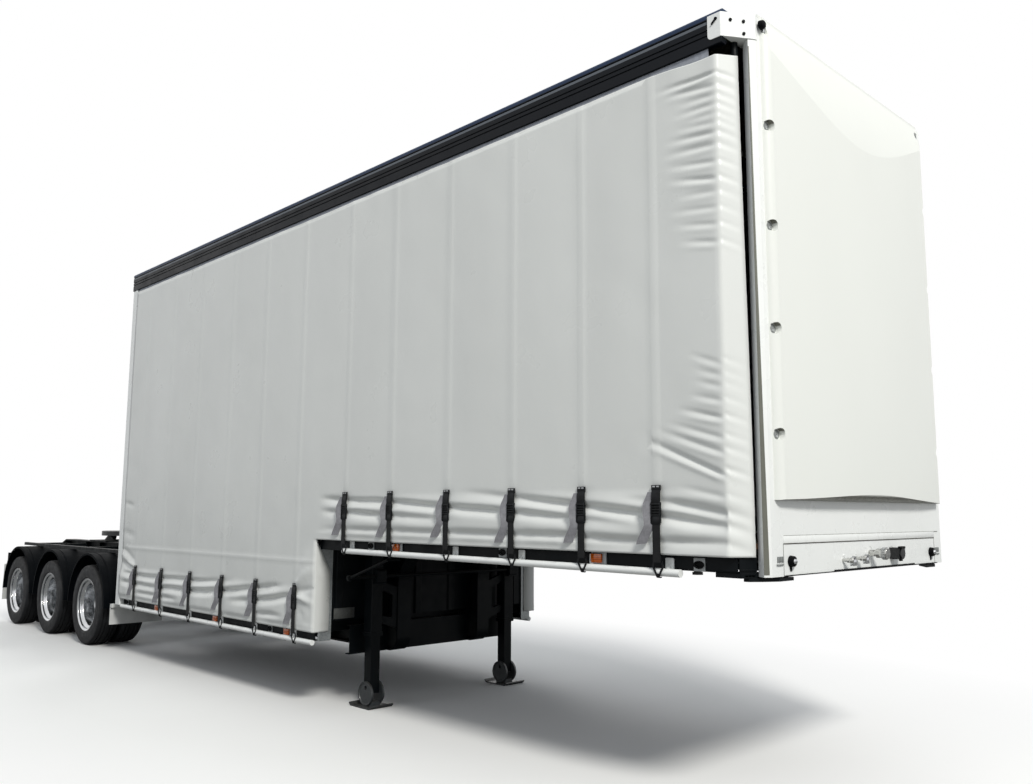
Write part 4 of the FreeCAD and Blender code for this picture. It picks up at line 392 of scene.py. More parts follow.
def add_block(bm, low, high, edge=0.0, material=0):
    """A box between two corners, its edges rounded."""
    matrix = Matrix.Translation((low + high) / 2) @ Matrix.Diagonal((*(high - low), 1.0))
    verts = bmesh.ops.create_cube(bm, size=1.0, matrix=matrix)["verts"]
    paint({face for vert in verts for face in vert.link_faces}, material)
    if edge:
        bmesh.ops.bevel(bm, geom=list({e for v in verts for e in v.link_edges}), offset=edge,
                        offset_type="OFFSET", affect="EDGES", segments=2, profile=0.5, material=-1)


def add_rod(bm, start, end, radius, tip=None, sides=24, material=0, turn=0.0):
    """A closed round or many-sided rod from start to end; tip is its other radius."""
    along = end - start
    matrix = (Matrix.Translation((start + end) / 2) @ along.to_track_quat("Z", "Y").to_matrix().to_4x4()
              @ Matrix.Rotation(turn, 4, "Z"))
    verts = bmesh.ops.create_cone(bm, cap_ends=True, segments=sides, radius1=radius,
                                  radius2=radius if tip is None else tip, depth=along.length,
                                  matrix=matrix)["verts"]
    paint({face for vert in verts for face in vert.link_faces}, material)


def add_ribbon(bm, spots, across, thickness):
    """A flat strap: one edge drawn out through the spots, then given its thickness; across may change on the way."""
    widths = across if isinstance(across, list) else [across] * len(spots)
    edge = bm.edges.new([bm.verts.new(spots[0] + widths[0] * half) for half in (-0.5, 0.5)])
    faces = []
    for spot, before, after in zip(spots[1:], widths, widths[1:]):
        middle = (edge.verts[0].co + edge.verts[1].co) / 2
        made = bmesh.ops.extrude_edge_only(bm, edges=[edge])["geom"]
        verts = made_of(made, bmesh.types.BMVert)
        for vert in verts:
            vert.co = spot + math.copysign(0.5, (vert.co - middle).dot(before)) * after
        edge = next(item for item in made_of(made, bmesh.types.BMEdge)
                    if all(vert in verts for vert in item.verts))
        faces += made_of(made, bmesh.types.BMFace)
    bmesh.ops.recalc_face_normals(bm, faces=faces)
    bmesh.ops.solidify(bm, geom=faces, thickness=thickness)


def add_turned(bm, centre, axis, profile, steps=48, closed=False, material=0):
    """A turned part: its profile, as (along the axis, radius), spun a full turn about the axis."""
    axis = Vector(axis)
    out = axis.orthogonal().normalized()
    verts = [bm.verts.new(centre + axis * along + out * radius) for along, radius in profile]
    pairs = list(zip(verts, verts[1:])) + ([(verts[-1], verts[0])] if closed else [])
    edges = [bm.edges.new(pair) for pair in pairs]
    before = set(bm.faces)
    bmesh.ops.spin(bm, geom=verts + edges, cent=centre, axis=axis, angle=2 * math.pi, steps=steps,
                   use_merge=True, use_duplicate=False)
    bmesh.ops.remove_doubles(bm, verts=[v for v in bm.verts if not v.link_faces or
                                        any(f not in before for f in v.link_faces)], dist=1e-6)
    faces = [face for face in bm.faces if face not in before]
    bmesh.ops.recalc_face_normals(bm, faces=faces)
    paint(faces, material)


def angles(count, shift=0.0):
    """So many angles to a full turn, the first one shifted by a share of a step."""
    return [2 * math.pi * (index + shift) / count for index in range(count)]


def verts_since(bm, before):
    """The vertices that were not there before."""
    return [vert for vert in bm.verts if vert not in before]


def new_object(name, data):
    """Puts a mesh, a lamp or the camera into the scene."""
    made = bpy.data.objects.new(name, data)
    bpy.context.scene.collection.objects.link(made)
    return made


def new_mesh(name, bm):
    """Turns what was modelled into a mesh."""
    mesh = bpy.data.meshes.new(name)
    bm.to_mesh(mesh)
    bm.free()
    return mesh


def finish_piece(name, bm, way, body, *materials, crease=38.0):
    """Makes the mesh a piece on a body; what was built on the right is mirrored to the left when way is 1."""
    if way == 1:
        bmesh.ops.scale(bm, vec=(1.0, -1.0, 1.0), verts=bm.verts)
        bmesh.ops.reverse_faces(bm, faces=bm.faces)
    mesh = new_mesh(name, bm)
    mesh.shade_smooth()
    mesh.set_sharp_from_angle(angle=math.radians(crease))
    for material in materials:
        mesh.materials.append(material)
    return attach(new_object(name, mesh), body)


# ================================================================ curtains
CORNER_S = 0.150                        # where the cloth bends round the front corner
CORNER_RUN = (0.105, 0.162)             # the cut-off corner runs so far back and so far out
CORNER_NORM = math.hypot(*CORNER_RUN)
CORNER_REAR = Vector((-CORNER_RUN[0], -CORNER_RUN[1], 0.0)) / CORNER_NORM
CORNER_FACE = Vector((CORNER_RUN[1], -CORNER_RUN[0], 0.0)) / CORNER_NORM
BEND = 0.014                            # half the length of the bend's curve
RETURN_TOP, RETURN_FOOT = 0.130, 0.150  # width of the front return
HEAD_Z = 4.072
DROP_S = 4.0                            # where the deck drops
DROP_RETURN = 0.145                     # its return goes in so far
WELD_Z = 1.168                          # a welded seam along the low deck
WELD = (0.012, 0.020)                   # half widths of that seam, at its top and foot
SEAM = (0.020, 0.031)                   # the same for the seam up from each strap
STRAPS_HIGH = (0.592, 1.136, 1.727, 2.367, 3.010, 3.596)
STRAPS_LOW = (4.291, 4.944, 5.576, 6.242, 6.901, 7.570)
# lines along which the slack cloth is pinched in above the sills: (s, height, depth in millimetres)
PINCHES = (
    ((0.15, 1.563, 6), (0.30, 1.592, 8), (0.45, 1.618, 9), (0.60, 1.635, 5), (0.85, 1.650, 0)),
    ((0.15, 1.500, 5), (0.30, 1.520, 9), (0.45, 1.543, 13), (0.80, 1.580, 14), (0.95, 1.592, 14), (1.30, 1.625, 13),
     (1.50, 1.640, 11), (1.95, 1.682, 3), (2.20, 1.700, 0)),
    ((0.72, 1.500, 0), (0.95, 1.520, 3), (1.30, 1.543, 8), (1.50, 1.556, 10), (1.95, 1.584, 13), (2.15, 1.590, 13),
     (2.60, 1.620, 13), (2.80, 1.630, 13), (3.20, 1.648, 12), (3.40, 1.648, 11), (3.75, 1.664, 8), (3.94, 1.672, 0)),
    ((2.25, 1.520, 0), (2.60, 1.532, 5), (2.80, 1.538, 6), (3.20, 1.548, 10), (3.40, 1.560, 11), (3.75, 1.566, 7),
     (3.94, 1.574, 0)),
    ((0.15, 1.415, 3), (0.45, 1.418, 8), (0.80, 1.420, 10), (0.95, 1.422, 10), (1.30, 1.436, 9), (1.95, 1.430, 9),
     (2.60, 1.432, 7), (3.40, 1.434, 6), (3.94, 1.436, 0)),
    ((4.50, 0.948, 0), (4.65, 0.938, 7), (4.80, 0.921, 13), (5.10, 0.893, 14), (5.30, 0.867, 15), (5.70, 0.838, 15),
     (5.90, 0.815, 15), (6.40, 0.800, 14), (6.70, 0.800, 11), (7.05, 0.785, 8), (7.60, 0.795, 9), (7.90, 0.800, 4)),
    ((4.20, 0.905, 0), (4.45, 0.868, 14), (4.65, 0.833, 14), (4.80, 0.818, 12), (5.10, 0.790, 7), (5.45, 0.760, 0)),
    ((5.35, 0.945, 0), (5.70, 0.924, 6), (5.90, 0.908, 9), (6.05, 0.902, 12), (6.40, 0.897, 13), (6.70, 0.893, 12),
     (7.05, 0.884, 14), (7.30, 0.880, 14), (7.70, 0.890, 9), (7.93, 0.900, 0)),
    ((4.45, 0.700, 0), (4.65, 0.705, 7), (4.85, 0.695, 7), (5.15, 0.690, 0)),
    ((6.45, 0.700, 0), (6.70, 0.703, 7), (7.05, 0.703, 7), (7.35, 0.706, 6), (7.60, 0.700, 0)))
# creases gathered at the front corner: height, rise per metre rearwards, depth in millimetres, how far back they run
CORNER_CREASES = (
    (3.958, 0.00, 9.0, 0.46), (3.886, 0.12, 6.0, 0.40), (3.826, 0.05, 4.0, 0.28), (3.771, 0.03, 4.5, 0.32),
    (3.720, 0.03, 2.5, 0.22), (3.675, 0.12, 3.6, 0.32), (3.616, 0.10, 6.0, 0.38), (3.547, 0.08, 5.2, 0.40),
    (3.457, 0.15, 5.4, 0.38), (3.367, 0.20, 7.0, 0.36), (3.288, 0.10, 3.6, 0.30), (3.201, 0.13, 3.6, 0.36),
    (3.113, 0.18, 4.2, 0.32), (3.017, 0.20, 4.8, 0.28), (2.379, 0.40, 3.2, 0.24), (2.310, 0.30, 2.6, 0.20),
    (2.250, 0.30, 2.6, 0.20), (2.172, 0.25, 3.8, 0.24), (2.083, 0.25, 6.6, 0.32), (1.982, 0.30, 5.0, 0.40),
    (1.912, 0.35, 5.6, 0.48), (1.805, 0.42, 10.0, 0.68), (1.672, 0.20, 4.0, 0.34))
# slanting tension folds: from (s, z) to (s, z), width, how far they stand out
TENSION_FOLDS = (
    (4.30, 0.945, 4.03, 1.13, 0.030, 0.022), (4.29, 0.905, 4.03, 0.965, 0.022, -0.016),
    (4.31, 0.900, 4.04, 0.835, 0.026, 0.022), (4.22, 0.80, 4.10, 0.66, 0.022, -0.012),
    (4.16, 0.82, 4.12, 0.62, 0.026, 0.014), (4.27, 1.02, 4.06, 1.25, 0.045, 0.010),
    (7.56, 0.965, 7.96, 1.100, 0.024, 0.024), (7.60, 1.010, 7.96, 1.175, 0.026, -0.014),
    (7.58, 0.925, 7.96, 1.020, 0.024, -0.018), (7.42, 0.86, 7.30, 0.76, 0.020, -0.009),
    (7.62, 1.30, 7.96, 1.34, 0.030, -0.006), (7.70, 1.62, 7.96, 1.66, 0.026, -0.006),
    (7.66, 2.05, 7.96, 2.08, 0.026, -0.006), (7.74, 2.60, 7.96, 2.62, 0.024, -0.005),
    (7.76, 3.20, 7.96, 3.21, 0.024, -0.005), (7.72, 3.74, 7.96, 3.74, 0.024, -0.006))


def drift(x, y, z):
    """Slow, repeatable unevenness between -1 and 1."""
    return noise.noise(Vector((x, y, z)))


def plan_of_curtain(u):
    """Where the curtain runs in plan, u metres behind its bend: (s, out) and its outward direction."""
    back, out = (run / CORNER_NORM for run in CORNER_RUN)
    bend, front, rear = Vector((CORNER_S, HALF)), Vector((-back, -out)), Vector((1.0, 0.0))
    facing, outward = Vector((-out, back)), Vector((0.0, 1.0))
    if u <= -BEND:
        return bend + front * -u, facing
    if u >= BEND:
        return bend + rear * u, outward
    t = (u + BEND) / (2 * BEND)
    spot = (bend + front * BEND) * (1 - t) ** 2 + bend * 2 * t * (1 - t) + (bend + rear * BEND) * t ** 2
    return spot, (facing * (1 - t) + outward * t).normalized()


def pinched_at(s, rows):
    """Height and depth of a pinched line at s, or nothing where it has run out."""
    for (near, low, shallow), (far, high, deep) in zip(rows, rows[1:]):
        if near <= s <= far:
            t = (s - near) / (far - near)
            return low + (high - low) * t, shallow + (deep - shallow) * t
    return None


def slack(s, z, side, foot, gap):
    """The loose cloth above the sill, which stands out in a band and is pinched in along its lines."""
    band = smooth(z, foot + 0.02, foot + 0.07) * (1.0 - smooth(z, foot + 0.24, foot + 0.36))
    ends = smooth(s, 0.20, 0.6) * (1.0 - smooth(s, 3.5, 3.95)) if s < DROP_S else smooth(s, 4.1, 4.5)
    height = 0.020 * band * ends * (0.55 + 0.45 * smooth(gap, 0.02, 0.22))
    wander = 0.006 * drift(s * 2.1, 4.0 + side, 0.0)
    loose = 0.55 + 0.45 * smooth(gap, 0.015, 0.16)
    for rows in PINCHES:
        found = pinched_at(s, rows)
        if found:
            off = z - found[0] - wander
            if abs(off) < 0.11:
                height -= 0.0030 * found[1] * loose * math.exp(-(off / (0.022 if off > 0 else 0.030)) ** 2)
    return height


def gathers(s, z):
    """Creases gathered behind the front corner, each a furrow with a soft ridge below it."""
    height, back = 0.0, max(0.0, s - CORNER_S)
    if back >= 0.7:
        return height
    for at, rise, depth, reach in CORNER_CREASES:
        fade = (1.0 - smooth(back, 0.3 * reach, reach)) * (0.2 + 0.8 * smooth(back, 0.0, 0.06))
        off = z - at - rise * (back - 0.11)
        if fade and abs(off) < 0.08:
            wide = 0.0135 + 0.012 * back
            height -= 0.0013 * depth * fade * (math.exp(-(off / wide) ** 2)
                                               - 0.45 * math.exp(-((off + 2.0 * wide) / wide) ** 2))
    return height


def tension(s, z):
    """Slanting folds that run from a strap to the nearest held edge."""
    height = 0.0
    for s0, z0, s1, z1, wide, out in TENSION_FOLDS:
        run, rise = s1 - s0, z1 - z0
        length = math.hypot(run, rise)
        along = ((s - s0) * run + (z - z0) * rise) / length
        if -0.1 < along < length + 0.1:
            off = ((s - s0) * rise - (z - z0) * run) / length / wide
            ends = smooth(along, -0.02, 0.10) * (1.0 - smooth(along, length - 0.12, length + 0.05))
            height += out * ends * math.exp(-off * off)
    return height


def cloth_height(s, z, side):
    """How far the curtain stands out of its flat plane at s behind the front wall and height z."""
    high = s < DROP_S
    foot = HEM_HIGH if high else HEM_LOW
    gap = min(abs(s - strap) for strap in (STRAPS_HIGH if high else STRAPS_LOW))
    height = 0.0050 * drift(s * 1.3, z * 1.0, side * 7.0) + 0.0016 * drift(s * 5.0, z * 4.0, side * 3.0 + 20.0)
    # the welded seam up from each strap holds the cloth in, and the panel between billows
    height += 0.003 * smooth(gap, 0.02, 0.25) * smooth(z, foot + 0.2, 2.2) * (1.0 - smooth(z, 3.5, 4.05))
    height += 0.0015 * (1.0 - smooth(gap, *SEAM))
    height += slack(s, z, side, foot, gap)
    # the belt of the strap presses the cloth in
    height -= 0.010 * math.exp(-(gap / 0.042) ** 2) * (1.0 - smooth(z, foot + 0.33, foot + 0.40))
    # faint upright pleats low down
    height += 0.0036 * drift(s * 9.0, z * 1.2, 31.0 + side) * (1.0 - smooth(z, foot + 0.12, foot + 0.45))
    height += gathers(s, z) + tension(s, z)
    # a welded seam runs along the low deck, and a folded hem along each foot
    if not high:
        height += 0.0012 * (1.0 - smooth(abs(z - WELD_Z), *WELD))
    height += 0.0022 * (1.0 - smooth(z, foot + 0.055, foot + 0.063))
    # small pleats under the runners in the roof rail
    return height + 0.004 * drift(s * 6.0, 1.0, 50.0 + side) * smooth(z, 3.75, HEAD_Z)


def stations(spans, extra):
    """Sorted marks over several spans, each (from, to, step), with extra marks put in."""
    marks = {round(mark, 4) for mark in extra}
    for low, high, step in spans:
        count = max(1, round((high - low) / step))
        marks |= {round(low + (high - low) * index / count, 4) for index in range(count + 1)}
    kept = []
    for mark in sorted(marks):
        if not kept or mark - kept[-1] > 0.0022:
            kept.append(mark)
    return kept


def flat_sheet():
    """The cloth laid flat, across metres behind the bend and up by height: cut out, and divided finer at the corner."""
    drop, rear = DROP_S - CORNER_S, REAR_S - CORNER_S
    seams = [strap - CORNER_S + side * half for strap in STRAPS_HIGH + STRAPS_LOW for half in SEAM
             for side in (-1, 1)]
    columns = stations(((-1.0, -0.10, 0.225), (-0.10, 0.016, 0.0145), (0.016, 0.42, 0.022), (0.42, drop, 0.046),
                        (drop, rear, 0.044)), seams)
    rows = stations(((HEM_LOW, 1.02, 0.0120), (1.02, HEM_HIGH, 0.033), (HEM_HIGH, 1.74, 0.0115),
                     (1.74, 4.00, 0.060), (4.00, HEAD_Z, 0.036)),
                    [WELD_Z + side * half for half in WELD for side in (-1, 1)])
    bm = bmesh.new()
    across, up = len(columns) - 1, len(rows) - 1
    for vert in bmesh.ops.create_grid(bm, x_segments=across, y_segments=up, size=1.0)["verts"]:
        vert.co = (columns[round((vert.co.x + 1.0) / 2.0 * across)], rows[round((vert.co.y + 1.0) / 2.0 * up)], 0.0)
    cut = [face for face in bm.faces if all(v.co.x < drop + 1e-4 and v.co.y < HEM_HIGH + 1e-4 for v in face.verts)]
    bmesh.ops.delete(bm, geom=cut, context="FACES")
    upright = [edge for edge in bm.edges if abs(edge.verts[0].co.x - edge.verts[1].co.x) < 1e-6
               and edge.verts[0].co.x < 0.50 and min(v.co.y for v in edge.verts) > 1.73]
    bmesh.ops.subdivide_edges(bm, edges=upright, cuts=5, use_grid_fill=True)
    return bm


def hang(bm, side):
    """Folds the flat sheet round the corner, pulls it tight and lets its slack stand out."""
    spots = {vert: (vert.co.x, vert.co.y) for vert in bm.verts}
    for vert, (u, z) in spots.items():
        if u < -BEND:
            # the return is cut wider at the foot than at the top
            whole = RETURN_FOOT + (RETURN_TOP - RETURN_FOOT) * smooth(z, HEM_HIGH, HEAD_Z)
            u = -BEND - (-u - BEND) * (whole - BEND) / (1.0 - BEND)
        (s, out), normal = plan_of_curtain(u)
        on_side = smooth(u, -0.012, 0.016)
        lift = cloth_height(s, z, side) * on_side
        if u < 0.016:
            # on the return the same creases slant down towards the post and die out
            fade = 1.0 - 0.75 * smooth(-u, 0.0, 0.15)
            lift += (1.0 - on_side) * 0.50 * fade * cloth_height(CORNER_S + 0.10, z - 0.35 * min(0.0, u), side)
        if z > HEAD_Z - 0.2:
            z -= 0.022 * (1.0 - smooth(u, 0.10, 0.45)) * smooth(z, HEAD_Z - 0.2, HEAD_Z)
        spot = Vector((s, out)) + normal * (0.0015 + lift)
        vert.co = place(spot.x, -spot.y, z)
    return spots


def drop_return(bm, spots):
    """The cloth's return where the deck drops: its front edge drawn inwards, narrowing to the corner above."""
    edges = [edge for edge in bm.edges if edge.is_boundary
             and all(abs(spots[v][0] - (DROP_S - CORNER_S)) < 1e-4 and spots[v][1] < HEM_HIGH + 1e-4
                     for v in edge.verts)]
    for width, back, narrows in ((0.012, 0.003, False), (DROP_RETURN - 0.012, -0.002, True)):
        made = bmesh.ops.extrude_edge_only(bm, edges=edges)["geom"]
        verts = made_of(made, bmesh.types.BMVert)
        for vert in verts:
            share = min(1.0, max(0.0, (HEM_HIGH - vert.co.z) / 0.26)) if narrows else 1.0
            vert.co.y += width * share
            vert.co.x += back
        edges = [edge for edge in made_of(made, bmesh.types.BMEdge) if all(v in verts for v in edge.verts)]


class TRAILER_OT_curtains(bpy.types.Operator):
    """Hangs both curtains: one sheet each, folded round the front corner and slack over the tie rails"""
    bl_idname = "trailer.curtains"
    bl_label = "Curtains"

    def execute(self, context):
        cloth = pvc_curtain(context.scene.trailer_colours.curtain)
        # grey-blue band under the rail: painted light
        grey = woven_webbing("grey_head_band_painted_light", hex_rgba("#8b8f97"))
        for name, way in SIDES:
            bm = flat_sheet()
            drop_return(bm, hang(bm, way))
            bmesh.ops.recalc_face_normals(bm, faces=bm.faces)
            piece = finish_piece("curtain_" + name, bm, way, "trailer", cloth, crease=80.0)
            if sum(p.normal.y * p.area for p in piece.data.polygons) * way < 0:
                piece.data.flip_normals()
            skin = piece.modifiers.new("thickness", "SOLIDIFY")
            skin.thickness = context.scene.trailer_sizes.cloth_thickness
            skin.offset = -1.0
            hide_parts("side_curtain_" + name)
            # a grey-blue band along the cloth's head, up into the rail: painted light, the glow thrown up from the
            # ground onto the rail's underside
            bm = bmesh.new()
            add_block(bm, place(REAR_S - 0.03, -HALF + 0.006, HEAD_Z - 0.060),
                      place(0.20, -HALF + 0.010, CURTAIN_TOP + 0.010))
            finish_piece("curtain_head_" + name, bm, way, "trailer", grey)
        return {"FINISHED"}


# ================================================================ straps
HOOK_Y = -1.2525                        # the hooks' plates lie just outside the tie rails
# lines that each strap's flat pieces follow, as height above its hem and metres out of its plane
BELT_RUN = ((0.350, 0.004), (0.200, 0.010), (0.110, 0.0125), (0.0, 0.011))
BUCKLE_BODY = ((0.346, 0.007), (0.322, 0.011), (0.270, 0.012), (0.262, 0.0085))
BUCKLE_GRIP = ((0.208, 0.006), (0.196, 0.010), (0.172, 0.012), (0.160, 0.008))
# the hook, as metres across or behind its plane and height above the rail's middle
HOOK_PLATE = ((0.041, 0.032), (0.028, 0.063), (-0.028, 0.063), (-0.041, 0.032), (-0.013, -0.018), (0.013, -0.018))
HOOK_TURN = ((-0.001, -0.006), (-0.001, -0.020), (0.003, -0.027), (0.012, -0.030), (0.022, -0.027))


def rail_z(s):
    """Height of the tie rail's middle at s behind the front wall."""
    return 1.2507 + 0.00505 * s if s < DROP_S else 0.530


class TRAILER_OT_straps(bpy.types.Operator):
    """Fits the straps that pull the curtain down: belt, over-centre buckle, loose tail and rail hook"""
    bl_idname = "trailer.straps"
    bl_label = "Straps"

    def execute(self, context):
        width = context.scene.trailer_sizes.belt_width
        belt = woven_webbing("woven_black_polyester", hex_rgba("#0a0c0e"))
        tail = woven_webbing("woven_grey_polyester", hex_rgba("#77777b"))
        steel = black_steel()
        plate = bare_metal("zinc_plated_steel", hex_rgba("#b4b6b8"), 0.3)
        for name, way in SIDES:
            belts, tails, buckles = bmesh.new(), bmesh.new(), bmesh.new()
            for index, s in enumerate(STRAPS_HIGH + STRAPS_LOW):
                hem = HEM_HIGH if s < DROP_S else HEM_LOW
                self.belt(belts, s, hem, width)
                self.tail(tails, s, hem, width, index)
                self.buckle(buckles, s, hem, width / 2)
                self.hook(buckles, s, rail_z(s))
            piece = finish_piece("strap_belts_" + name, belts, way, "trailer", belt)
            if way == -1:
                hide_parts("curtain_straps")
            finish_piece("strap_tails_" + name, tails, way, "trailer", tail)
            finish_piece("strap_buckles_" + name, buckles, way, "trailer", steel, plate)
        return {"FINISHED"}

    def belt(self, bm, s, hem, width):
        """The belt from behind the buckle down over the cloth, through the hook's bar and back on itself."""
        loop = rail_z(s) + 0.057
        run = [(hem + up, out) for up, out in BELT_RUN] + [(rail_z(s) + 0.061, 0.006)]
        fold = ((loop, 0.006), (loop - 0.004, 0.0115), (loop + 0.008, 0.0125), (loop + 0.050, 0.0125))
        for line in (run, fold):
            add_ribbon(bm, [place(s, -HALF - out, z) for z, out in line], Vector((width, 0, 0)), 0.003)

    def tail(self, bm, s, hem, width, index):
        """The loose end leaves the buckle's top on its rear side, twists, bows and is cut slanting."""
        sway = 1.0 + 0.3 * drift(index * 3.7, 0.5, 0.0)
        length = 0.295 - 0.025 * drift(index * 2.3, 5.5, 0.0)
        spots, across, steps = [], [], 14
        for step in range(steps + 1):
            t = step / steps
            twist = 0.25 + 0.40 * smooth(t, 0.0, 0.35)
            back = 0.030 + (0.020 * math.sin(math.pi * min(1.0, 1.5 * t)) + 0.064 * smooth(t, 0.52, 1.05)) * sway
            out = 0.008 + 0.012 * smooth(t, 0.0, 0.3) + 0.004 * smooth(t, 0.6, 1.0)
            spots.append(place(s + back, -HALF - out, hem + 0.336 - length * t))
            across.append(Vector((math.cos(twist), math.sin(twist), 0.0)) * width * (0.95 + 0.20 * smooth(t, 0.0, 0.3)))
        before = set(bm.verts)
        add_ribbon(bm, spots, across, 0.0025)
        for vert in verts_since(bm, before):
            if vert.co.z < spots[-1].z + 0.002:
                vert.co.z += 0.12 * (vert.co.x - spots[-1].x)

    def buckle(self, bm, s, hem, half):
        """Ladder plate at the top, the frame with its ribbed lever, and the lever's grip turned out below."""
        face = -HALF - 0.004

        def block(middle, reach, front, back, low, high, edge, material=0):
            add_block(bm, place(middle + reach, face - front, hem + low),
                      place(middle - reach, face - back, hem + high), edge, material)

        def bar(reach, up, radius, sides):
            add_rod(bm, place(s + half + reach, face - 0.008, up), place(s - half - reach, face - 0.008, up), radius,
                    sides=sides)

        def strip(line, shift, extra, thickness):
            add_ribbon(bm, [place(s + shift, face - out, hem + up) for up, out in line],
                       Vector((2 * half + extra, 0, 0)), thickness)

        block(s, half + 0.006, 0.006, -0.002, 0.344, 0.374, 0.002)
        for off in (-0.5, 0.5):
            block(s + 1.05 * half * off, 0.009, 0.0070, 0.0055, 0.361, 0.369, 0.0006, 1)
        strip(BUCKLE_BODY, 0.0, 0.004, 0.006)
        for way in (-1, 1):
            block(s + way * (half + 0.003), 0.0025, 0.014, -0.002, 0.168, 0.282, 0.0012)
        for index in range(4):
            bar(0.0, hem + 0.254 - 0.0145 * index, 0.0048, 12)
        bar(0.009, hem + 0.270, 0.006, 16)
        strip(BUCKLE_GRIP, 0.004, 0.014, 0.0035)

    def hook(self, bm, s, rail):
        """Diamond-shaped wire plate at the belt's end, in front of the rail, its point turned in underneath."""
        plate = bm.faces.new([bm.verts.new(place(s + across, HOOK_Y, rail + up)) for across, up in HOOK_PLATE])
        plate.normal_update()
        rim = bmesh.ops.inset_region(bm, faces=[plate], use_boundary=True, thickness=0.0125, depth=0.0)["faces"]
        bmesh.ops.delete(bm, geom=[plate], context="FACES_ONLY")
        bmesh.ops.recalc_face_normals(bm, faces=rim)
        bmesh.ops.solidify(bm, geom=rim, thickness=0.004)
        add_ribbon(bm, [place(s, HOOK_Y + back, rail + up) for back, up in HOOK_TURN], Vector((0.024, 0, 0)), 0.004)


# ================================================================ tyres and wheel nuts
TYRE_MIDS = (1.1155, 0.8255)            # the outer and the inner tyre of a pair
TYRE_STEPS = 120
# one half of the section: out from its middle, radius, and 1 on the floor of a groove
TYRE_HALF = ((0.0260, 0.4638, 0), (0.0272, 0.4638, 1), (0.0360, 0.4636, 1), (0.0372, 0.4636, 0), (0.0660, 0.4628, 0),
             (0.0672, 0.4628, 1), (0.0760, 0.4622, 1), (0.0772, 0.4622, 0), (0.1000, 0.4600, 0), (0.1105, 0.4555, 0),
             (0.1160, 0.4460, 0), (0.1178, 0.4330, 0), (0.1202, 0.4310, 0), (0.1196, 0.4270, 0), (0.1232, 0.4040, 0),
             (0.1258, 0.3760, 0), (0.1252, 0.3500, 0), (0.1222, 0.3270, 0), (0.1240, 0.3235, 0), (0.1222, 0.3200, 0),
             (0.1140, 0.3060, 0), (0.1020, 0.2950, 0), (0.1005, 0.2868, 0))
DISC_Y = -(TYRE_MIDS[0] + TYRE_MIDS[1]) / 2 - 0.020     # outer face of the wheels' discs
CAP_Y = DISC_Y - 0.084                                  # outer face of the hub cap
NUT_CIRCLE, CAP_CIRCLE, VALVE_CIRCLE = 0.1425, 0.080, 0.215
# rods on one axis: each from and to so far along it, its two radii and its sides
WHEEL_NUT = ((0.0, 0.006, 0.0225, 0.0215, 24), (0.006, 0.026, 0.0185, 0.0175, 6), (0.026, 0.042, 0.0108, 0.0098, 16))
CAP_SCREW = ((0.0, 0.008, 0.0085, 0.0080, 6),)
CLAMP_NUT = ((0.0, 0.016, 0.013, 0.0125, 6), (0.016, 0.030, 0.0085, 0.008, 12))


def add_stack(bm, foot, axis, rods, turn=0.0):
    """A nut or screw with its stud: rods on one axis, of which the six-sided ones are turned."""
    for low, high, radius, tip, sides in rods:
        add_rod(bm, foot + axis * low, foot + axis * high, radius, tip, sides, turn=turn if sides == 6 else 0.0)


def about_axle(x, y, radius, angle):
    """The point at that radius and angle about the axle at x."""
    return Vector((x + radius * math.cos(angle), y, TYRE_R + radius * math.sin(angle)))


def wheel_sets():
    """Every twin wheel: its axle, where that lies, its side by name and by sign, and its body."""
    return [(axle, x, name, way, f"wheel_{axle}_{name}") for axle, x in zip(AXLES, AXLE_X) for name, way in SIDES]


class TRAILER_OT_tyres(bpy.types.Operator):
    """Moulds each pair of tyres: ribbed tread with notched shoulders, round walls and beads on the rims"""
    bl_idname = "trailer.tyres"
    bl_label = "Tyres"

    def execute(self, context):
        rubber = tyre_rubber(hex_rgba("#0e1013"))
        depth = context.scene.trailer_sizes.tread_depth
        half = [(out, radius - depth * groove) for out, radius, groove in TYRE_HALF]
        section = [(-out, radius) for out, radius in reversed(half)] + half
        for axle, x, name, way, body in wheel_sets():
            bm = bmesh.new()
            for middle in TYRE_MIDS:
                centre = Vector((x, -middle, TYRE_R))
                before = set(bm.verts)
                add_turned(bm, centre, (0, 1, 0), section, TYRE_STEPS, closed=True)
                self.notch(centre, verts_since(bm, before))
            piece = finish_piece(f"tyre_pair_{axle}_{name}", bm, way, body, rubber, crease=32.0)
            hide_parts(f"tyres_{axle}_{name}")
        return {"FINISHED"}

    def notch(self, centre, verts):
        """Presses every other step of both shoulders 6 mm in, and 2 mm towards the tyre's middle."""
        for vert in verts:
            arm = vert.co - centre
            step = round(math.atan2(arm.z, arm.x) / (2 * math.pi) * TYRE_STEPS)
            if step % 2 == 0 and abs(arm.y) > 0.099 and math.hypot(arm.x, arm.z) > 0.45:
                inwards = Vector((arm.x, 0.0, arm.z)).normalized() * -0.006
                vert.co += inwards + Vector((0.0, -math.copysign(0.002, arm.y), 0.0))


